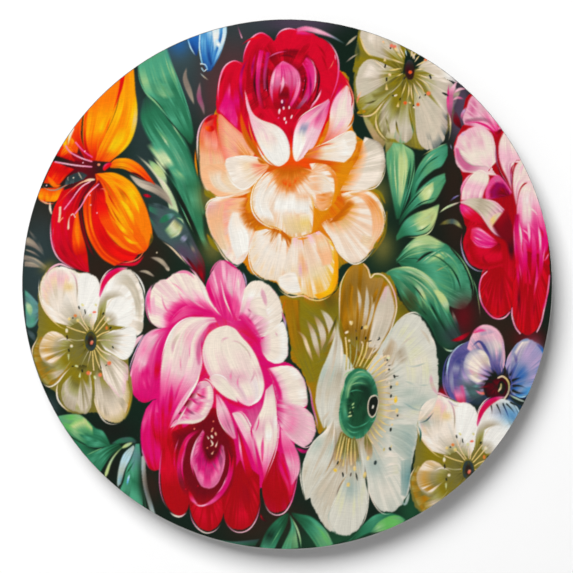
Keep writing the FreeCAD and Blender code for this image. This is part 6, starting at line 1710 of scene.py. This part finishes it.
def new_material(name):
    """A new material, its node tree and its main shader."""
    material = bpy.data.materials.new(name)
    material.use_nodes = True
    tree = material.node_tree
    return material, tree, tree.nodes["Principled BSDF"]


def add(tree, kind, **values):
    """A new node. Values that name an input set that input, and the others set the node's own property."""
    node = tree.nodes.new("ShaderNode" + kind)
    for name, value in values.items():
        if name in node.inputs:
            node.inputs[name].default_value = value
        else:
            setattr(node, name, value)
    return node


def noise(tree, vector, scale, detail=3.0, roughness=0.5):
    """Soft noise over the given places."""
    node = add(tree, "TexNoise", Scale=scale, Detail=detail, Roughness=roughness)
    tree.links.new(vector, node.inputs["Vector"])
    return node.outputs["Fac"]


def spread(tree, value, low, high, start=0.0, end=1.0):
    """The value from start to end, spread from low to high."""
    node = add(tree, "MapRange")
    tree.links.new(value, node.inputs["Value"])
    for name, number in (("From Min", start), ("From Max", end), ("To Min", low), ("To Max", high)):
        node.inputs[name].default_value = number
    return node.outputs["Result"]


def scaled(tree, vector, factors):
    """The vector with each of its parts multiplied by a factor."""
    node = add(tree, "VectorMath", operation="MULTIPLY")
    tree.links.new(vector, node.inputs[0])
    node.inputs[1].default_value = factors
    return node.outputs["Vector"]


def times(tree, colour, factor):
    """The colour made lighter or darker by a factor."""
    node = add(tree, "VectorMath", operation="SCALE")
    tree.links.new(colour, node.inputs[0])
    tree.links.new(factor, node.inputs["Scale"])
    return node.outputs["Vector"]


def product(tree, one, other):
    """Two values multiplied."""
    node = add(tree, "Math", operation="MULTIPLY")
    tree.links.new(one, node.inputs[0])
    tree.links.new(other, node.inputs[1])
    return node.outputs["Value"]


def mixed(tree, share, one, other):
    """One colour turning into the other as share goes from 0 to 1."""
    node = add(tree, "Mix", data_type="RGBA")
    tree.links.new(share, node.inputs[0])
    node.inputs[6].default_value = (*one, 1)
    node.inputs[7].default_value = (*other, 1)
    return node.outputs[2]


def bumped(tree, shader, height, distance, strength):
    """Lets a height roughen the shader's surface."""
    node = add(tree, "Bump", Distance=distance, Strength=strength)
    tree.links.new(height, node.inputs["Height"])
    tree.links.new(node.outputs["Normal"], shader.inputs["Normal"])


def object_place(tree):
    """Where a point lies on its object."""
    return add(tree, "TexCoord").outputs["Object"]


# ---------------------------------------------------------------- finishes

def painting_finish():
    """Oil paint under thin lacquer: the strokes' own colours, with the tracks of single bristles."""
    material, tree, shader = new_material("painting")
    colour = add(tree, "Attribute", attribute_name="paint").outputs["Color"]
    bristle = add(tree, "Attribute", attribute_name="bristle").outputs["Vector"]
    tracks = noise(tree, scaled(tree, bristle, (2.6, 0.10, 1.0)), 1.0, detail=2.0)
    colour = times(tree, colour, spread(tree, tracks, 0.92, 1.08, 0.25, 0.75))
    weave = noise(tree, scaled(tree, object_place(tree), (240.0, 1.0, 1500.0)), 1.0, detail=1.0)
    colour = times(tree, colour, spread(tree, weave, 0.955, 1.045, 0.3, 0.7))
    tree.links.new(colour, shader.inputs["Base Color"])
    shader.inputs["Roughness"].default_value = 0.42
    shader.inputs["Specular IOR Level"].default_value = 0.18
    shader.inputs["Coat Weight"].default_value = 0.08
    shader.inputs["Coat Roughness"].default_value = 0.16
    bumped(tree, shader, tracks, 0.05 * MM, 0.6)
    return material


def plate_finish():
    """Rolled steel with a satin face and a bright sheared edge."""
    material, tree, shader = new_material("steel_sheet")
    grain = noise(tree, scaled(tree, object_place(tree), (40.0, 900.0, 900.0)), 1.0, detail=4.0)
    tree.links.new(mixed(tree, grain, (0.46, 0.46, 0.45), (0.66, 0.65, 0.63)), shader.inputs["Base Color"])
    tree.links.new(spread(tree, grain, 0.24, 0.42), shader.inputs["Roughness"])
    shader.inputs["Metallic"].default_value = 1.0
    bumped(tree, shader, grain, 0.02 * MM, 0.5)
    return material


def back_finish():
    """Black stoving lacquer, with a slight orange peel and a few dull hand marks."""
    material, tree, shader = new_material("back_lacquer")
    place = object_place(tree)
    peel = noise(tree, place, 700.0, detail=1.0)
    marks = noise(tree, place, 22.0, detail=5.0, roughness=0.65)
    colour = mixed(tree, marks, (0.010, 0.010, 0.011), (0.022, 0.021, 0.021))
    tree.links.new(colour, shader.inputs["Base Color"])
    tree.links.new(spread(tree, marks, 0.18, 0.38, 0.35, 0.7), shader.inputs["Roughness"])
    shader.inputs["Coat Weight"].default_value = 0.5
    shader.inputs["Coat Roughness"].default_value = 0.1
    bumped(tree, shader, peel, 0.03 * MM, 0.5)
    return material


def pine_finish(name, along):
    """Planed pine whose grain runs along one axis, with darker late wood and a few pores."""
    material, tree, shader = new_material(name)
    place = object_place(tree)
    squeeze = [60.0, 60.0, 60.0]
    squeeze["xyz".index(along)] = 4.0
    flow = noise(tree, scaled(tree, place, squeeze), 1.0, detail=2.0)
    rings = add(tree, "TexWave", wave_type="BANDS", bands_direction="Z" if along == "x" else "X",
                Scale=48.0, Distortion=5.0, Detail=2.0)
    rings.inputs["Detail Scale"].default_value = 0.6
    tree.links.new(scaled(tree, place, [value / 60.0 for value in squeeze]), rings.inputs["Vector"])
    lines = product(tree, rings.outputs["Fac"], spread(tree, flow, 0.5, 1.3))
    fibre_squeeze = [value * 16.0 for value in squeeze]
    fibres = noise(tree, scaled(tree, place, fibre_squeeze), 1.0, detail=3.0)
    colour = mixed(tree, lines, (0.60, 0.41, 0.22), (0.50, 0.32, 0.155))
    shade = spread(tree, fibres, 0.86, 1.12, 0.3, 0.7)
    tree.links.new(times(tree, colour, shade), shader.inputs["Base Color"])
    shader.inputs["Roughness"].default_value = 0.62
    bumped(tree, shader, fibres, 0.06 * MM, 0.5)
    return material


def foam_finish():
    """White double-sided foam tape with fine open cells."""
    material, tree, shader = new_material("foam_tape")
    cells = add(tree, "TexVoronoi", Scale=2600.0)
    tree.links.new(object_place(tree), cells.inputs["Vector"])
    tree.links.new(mixed(tree, cells.outputs["Distance"], (0.66, 0.66, 0.64), (0.80, 0.80, 0.78)),
                   shader.inputs["Base Color"])
    shader.inputs["Roughness"].default_value = 0.85
    bumped(tree, shader, cells.outputs["Distance"], 0.08 * MM, 0.6)
    return material


def metal_finish(name, light, dark, smooth_part, rough_part):
    """Plated steel: a base tone that drifts between two colours and from smooth to dull."""
    material, tree, shader = new_material(name)
    place = object_place(tree)
    drift = noise(tree, place, 160.0, detail=4.0, roughness=0.6)
    tree.links.new(mixed(tree, drift, dark, light), shader.inputs["Base Color"])
    tree.links.new(spread(tree, drift, smooth_part, rough_part, 0.3, 0.7), shader.inputs["Roughness"])
    shader.inputs["Metallic"].default_value = 1.0
    bumped(tree, shader, noise(tree, place, 2200.0, detail=1.0), 0.015 * MM, 0.4)
    return material


def rubber_finish():
    """Soft grey rubber, matt, with a little dust."""
    material, tree, shader = new_material("bumper_rubber")
    dust = noise(tree, object_place(tree), 900.0, detail=3.0)
    colour = mixed(tree, dust, (0.055, 0.055, 0.058), (0.10, 0.10, 0.10))
    tree.links.new(colour, shader.inputs["Base Color"])
    tree.links.new(spread(tree, dust, 0.5, 0.75), shader.inputs["Roughness"])
    return material


def dress_the_cad_nodes():
    """Gives every CAD node that stays in sight its finish."""
    plate, back, foam, rubber = plate_finish(), back_finish(), foam_finish(), rubber_finish()
    pine = {"x": pine_finish("pine_across", "x"), "z": pine_finish("pine_upright", "z")}
    nail = metal_finish("nail_steel", (0.60, 0.59, 0.57), (0.38, 0.37, 0.36), 0.28, 0.5)
    strap = metal_finish("strap_steel", (0.78, 0.72, 0.58), (0.60, 0.55, 0.46), 0.2, 0.4)
    ring = metal_finish("ring_steel", (0.82, 0.81, 0.78), (0.62, 0.61, 0.58), 0.12, 0.28)
    screw = metal_finish("screw_steel", (0.80, 0.74, 0.56), (0.58, 0.53, 0.42), 0.18, 0.36)
    finishes = {"plate": plate, "back_lacquer": back, "corner_nails": nail}
    for side in ("top", "bottom", "left", "right"):
        finishes["bond_strip_" + side] = foam
        finishes["frame_rail_" + side] = pine["x" if side in ("top", "bottom") else "z"]
    for side in ("left", "right"):
        finishes["wall_bumper_" + side] = rubber
        finishes["hanger_strap_" + side] = strap
        finishes["hanger_ring_" + side] = ring
        finishes["hanger_screws_" + side] = screw
    for name, material in finishes.items():
        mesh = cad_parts[name].data
        mesh.materials.clear()
        mesh.materials.append(material)


# ---------------------------------------------------------------- the painted surface

def softened(field):
    """The field averaged a little with its neighbours."""
    padded = np.pad(field, 1, mode="edge")
    sides = padded[:-2, 1:-1] + padded[2:, 1:-1] + padded[1:-1, :-2] + padded[1:-1, 2:]
    return (field * 4 + sides) / 8


def to_linear(colour):
    """Screen colours as amounts of light."""
    return np.where(colour <= 0.04045, colour / 12.92, ((colour + 0.055) / 1.055) ** 2.4)


def painted_grid(canvas):
    """Vertices, normals, colours and bristle tracks of the painted surface, and which lie outside."""
    low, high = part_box("painted_face")
    radius = (high.x - low.x) / 2
    axis = (np.arange(canvas.count) * canvas.cell - REACH) / 100 * radius
    x, z = np.meshgrid(axis, axis)
    far = np.hypot(x, z)
    outside = far > radius
    pull = np.where(outside, radius / np.maximum(far, 1e-9), 1.0)
    relief = softened(softened(np.clip(canvas.relief, 0, THICKEST)))
    y = low.y + PAINT_SINK - relief * PAINT_DEPTH
    step_size = canvas.cell / 100 * radius
    slope_z, slope_x = np.gradient(y, step_size)
    normals = np.stack([slope_x, -np.ones_like(y), slope_z], axis=-1)
    normals /= np.linalg.norm(normals, axis=-1, keepdims=True)
    places = np.stack([x * pull + (low.x + high.x) / 2, y, z * pull + (low.z + high.z) / 2], axis=-1)
    colours = np.ones(y.shape + (4,))
    grey = canvas.rgb.mean(axis=-1, keepdims=True)
    deep = grey + (canvas.rgb - grey) * VARNISH_DEPTH
    colours[..., :3] = to_linear(np.clip(deep, 0, 1)) * PAINT_WHITENESS
    tracks = np.stack([canvas.across, canvas.along, np.zeros_like(y)], axis=-1)
    return places, normals, colours, tracks, outside


def add_attribute(mesh, name, kind, field, values):
    """Stores one value for each vertex."""
    if kind == "FLOAT_COLOR":
        attribute = mesh.color_attributes.new(name, kind, "POINT")
    else:
        attribute = mesh.attributes.new(name, kind, "POINT")
    attribute.data.foreach_set(field, values.astype(np.float32).ravel())


def mesh_piece(name, places, faces, normals, colours, tracks, material):
    """An object made of the given quads, with smooth shading from the given normals."""
    mesh = bpy.data.meshes.new(name)
    mesh.vertices.add(len(places))
    mesh.vertices.foreach_set("co", places.astype(np.float32).ravel())
    mesh.loops.add(faces.size)
    mesh.loops.foreach_set("vertex_index", faces.astype(np.int32).ravel())
    mesh.polygons.add(len(faces))
    mesh.polygons.foreach_set("loop_start", np.arange(len(faces), dtype=np.int32) * 4)
    mesh.update(calc_edges=True)
    add_attribute(mesh, "paint", "FLOAT_COLOR", "color", colours)
    add_attribute(mesh, "bristle", "FLOAT_VECTOR", "vector", tracks)
    mesh.polygons.foreach_set("use_smooth", np.ones(len(faces), bool))
    mesh.normals_split_custom_set_from_vertices(normals.tolist())
    mesh.materials.append(material)
    piece = bpy.data.objects.new(name, mesh)
    bpy.context.scene.collection.objects.link(piece)
    return piece


def painting_pieces(canvas, names, material):
    """One piece for each named part of the painting, cut out of the same surface."""
    places, normals, colours, tracks, outside = painted_grid(canvas)
    index = np.arange(canvas.count**2).reshape(canvas.count, canvas.count)
    corners = np.stack([index[:-1, :-1], index[:-1, 1:], index[1:, 1:], index[1:, :-1]], axis=-1)
    inside = ~outside
    kept = inside[:-1, :-1] | inside[:-1, 1:] | inside[1:, 1:] | inside[1:, :-1]
    owner = canvas.owner[:-1, :-1]
    flat = [field.reshape(-1, field.shape[-1]) for field in (places, normals, colours, tracks)]
    made = []
    for number, name in enumerate(names):
        faces = corners[kept & (owner == number)]
        used, local = np.unique(faces, return_inverse=True)
        here = [field[used] for field in flat]
        made.append(mesh_piece(name, here[0], local.reshape(faces.shape), *here[1:], material))
    made.append(painted_edge(canvas, flat[2], material))
    return made


def painted_edge(canvas, colours, material):
    """The turned edge of the paint, from its surface back to the plate's front."""
    low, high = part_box("painted_face")
    radius = (high.x - low.x) / 2
    angle = np.linspace(0, 2 * math.pi, RIM_STEPS, endpoint=False)
    ring = np.stack([np.cos(angle), np.zeros(RIM_STEPS), np.sin(angle)], axis=-1)
    front = low.y + PAINT_SINK - EDGE_PAINT * PAINT_DEPTH
    places = np.vstack([ring * radius + (0, y, 0) for y in (front, high.y)])
    near = np.rint((ring[:, (0, 2)] * (100 - canvas.cell) + REACH) / canvas.cell).astype(int)
    paint = colours[near[:, 1] * canvas.count + near[:, 0]]
    here = np.arange(RIM_STEPS)
    after = (here + 1) % RIM_STEPS
    faces = np.stack([here, here + RIM_STEPS, after + RIM_STEPS, after], axis=-1)
    tracks = np.zeros_like(places)
    normals, colours = np.vstack([ring, ring]), np.vstack([paint, paint])
    return mesh_piece("painted_edge", places, faces, normals, colours, tracks, material)


def make_painting():
    """Lays every part's strokes, and hands the pieces over in place of the plain CAD face."""
    canvas = Canvas(CELL)
    names = list(dict.fromkeys(part[0] for part in PARTS))
    for name, strokes, *shift in PARTS:
        paint_part(canvas, names.index(name), strokes, *shift)
    for piece in painting_pieces(canvas, names, painting_finish()):
        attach(piece, "plate_and_frame")
        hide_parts("painted_face")


# ---------------------------------------------------------------- wall, light and camera

WALL_COLOUR = (0.87, 0.87, 0.87)
WALL_SIDE = 1.6                  # sizes and places from here on are in metres
WALL_GAP = 0.1 * MM              # from the bumpers to the wall
FLOOR_COLOUR = (0.42, 0.42, 0.42)
FLOOR_SIDE = 8.0
FLOOR_LEVEL = -0.8
WORLD_LIGHT = 0.20               # light from all round
WORLD_MIRRORED = 0.22            # the same, where the lacquer and the metal mirror it
WORLD_SEEN = 0.72                # the same, as the background
KEY_PLACE = (-0.92, -2.00, 1.50)
KEY_SIDE = 1.50
KEY_POWER = 93.0                 # in watts
FILL_PLACE = (0.5, 1.5, 0.7)
FILL_SIDE = 1.2
FILL_POWER = 26.0
CAMERA_LENS = 100.0              # in millimetres
SENSOR = 36.0
NEAREST_SEEN = 0.01
PLATE_SHARE = 0.92565            # how much of the picture's width the plate takes
OFF_CENTRE = (0.0004, 0.0012)    # how far right and up the plate sits in the picture


def flat_sheet(name, size, place, turn, material):
    """A flat square that belongs to the stage."""
    mesh = bpy.data.meshes.new(name)
    half = size / 2
    corners = [(-half, -half, 0), (half, -half, 0), (half, half, 0), (-half, half, 0)]
    mesh.from_pydata(corners, [], [(0, 1, 2, 3)])
    mesh.materials.append(material)
    sheet = bpy.data.objects.new(name, mesh)
    sheet.location = place
    sheet.rotation_euler = turn
    bpy.context.scene.collection.objects.link(sheet)
    return sheet


def wall_finish():
    """Plain pale wall, clear from behind, so that the back of the plate can be looked at."""
    material, tree, shader = new_material("wall")
    shader.inputs["Base Color"].default_value = (*WALL_COLOUR, 1)
    shader.inputs["Roughness"].default_value = 0.9
    shader.inputs["Specular IOR Level"].default_value = 0.0
    clear = add(tree, "BsdfTransparent")
    choice = add(tree, "MixShader")
    tree.links.new(add(tree, "NewGeometry").outputs["Backfacing"], choice.inputs[0])
    tree.links.new(shader.outputs[0], choice.inputs[1])
    tree.links.new(clear.outputs[0], choice.inputs[2])
    tree.links.new(choice.outputs[0], tree.nodes["Material Output"].inputs["Surface"])
    return material


def floor_finish():
    """Plain grey floor, outside the picture, that sends a little light back up."""
    material, _, shader = new_material("floor")
    shader.inputs["Base Color"].default_value = (*FLOOR_COLOUR, 1)
    shader.inputs["Roughness"].default_value = 0.8
    return material


def soft_light(name, place, size, power, mirrored):
    """A square light that faces the plate, and mirrors in its lacquer or not."""
    lamp = bpy.data.lights.new(name, "AREA")
    lamp.shape = "SQUARE"
    lamp.size = size
    lamp.energy = power
    light = bpy.data.objects.new(name, lamp)
    light.location = place
    light.rotation_euler = (-light.location).to_track_quat("-Z", "Y").to_euler()
    light.visible_glossy = mirrored
    bpy.context.scene.collection.objects.link(light)


def make_world(light_level, mirrored_level, seen_level):
    """Even light from all round, with its own level where it is mirrored and as the background."""
    world = bpy.data.worlds.new("studio")
    world.use_nodes = True
    tree = world.node_tree
    path = add(tree, "LightPath")
    shown = tree.nodes["Background"]
    shown.inputs["Color"].default_value = (light_level, light_level, light_level, 1)
    for ray, level in (("Is Glossy Ray", mirrored_level), ("Is Camera Ray", seen_level)):
        other = add(tree, "Background")
        other.inputs["Color"].default_value = (level, level, level, 1)
        choice = add(tree, "MixShader")
        tree.links.new(path.outputs[ray], choice.inputs[0])
        tree.links.new(shown.outputs[0], choice.inputs[1])
        tree.links.new(other.outputs[0], choice.inputs[2])
        shown = choice
    tree.links.new(shown.outputs[0], tree.nodes["World Output"].inputs["Surface"])
    bpy.context.scene.world = world


def make_stage():
    """The wall just behind the bumpers, the floor, the world and the two lights."""
    back = size_before[1][1]
    wall = flat_sheet("wall", WALL_SIDE, (0, back + WALL_GAP, 0), (math.pi / 2, 0, 0), wall_finish())
    wall.visible_shadow = False
    flat_sheet("floor", FLOOR_SIDE, (0, 0, FLOOR_LEVEL), (0, 0, 0), floor_finish())
    make_world(WORLD_LIGHT, WORLD_MIRRORED, WORLD_SEEN)
    soft_light("key", KEY_PLACE, KEY_SIDE, KEY_POWER, False)
    soft_light("back_fill", FILL_PLACE, FILL_SIDE, FILL_POWER, True)


def make_camera():
    """A long lens square on to the plate."""
    low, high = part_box("plate")
    view_width = (high.x - low.x) / PLATE_SHARE
    lens = bpy.data.cameras.new("camera")
    lens.lens = CAMERA_LENS
    lens.sensor_width = SENSOR
    lens.clip_start = NEAREST_SEEN
    camera = bpy.data.objects.new("camera", lens)
    camera.location = (-OFF_CENTRE[0], low.y - view_width * CAMERA_LENS / SENSOR, -OFF_CENTRE[1])
    camera.rotation_euler = (math.pi / 2, 0, 0)
    bpy.context.scene.collection.objects.link(camera)
    bpy.context.scene.camera = camera


dress_the_cad_nodes()
make_painting()
make_stage()
make_camera()
bpy.context.scene.view_settings.view_transform = "Standard"
bpy.context.scene.view_settings.look = "None"
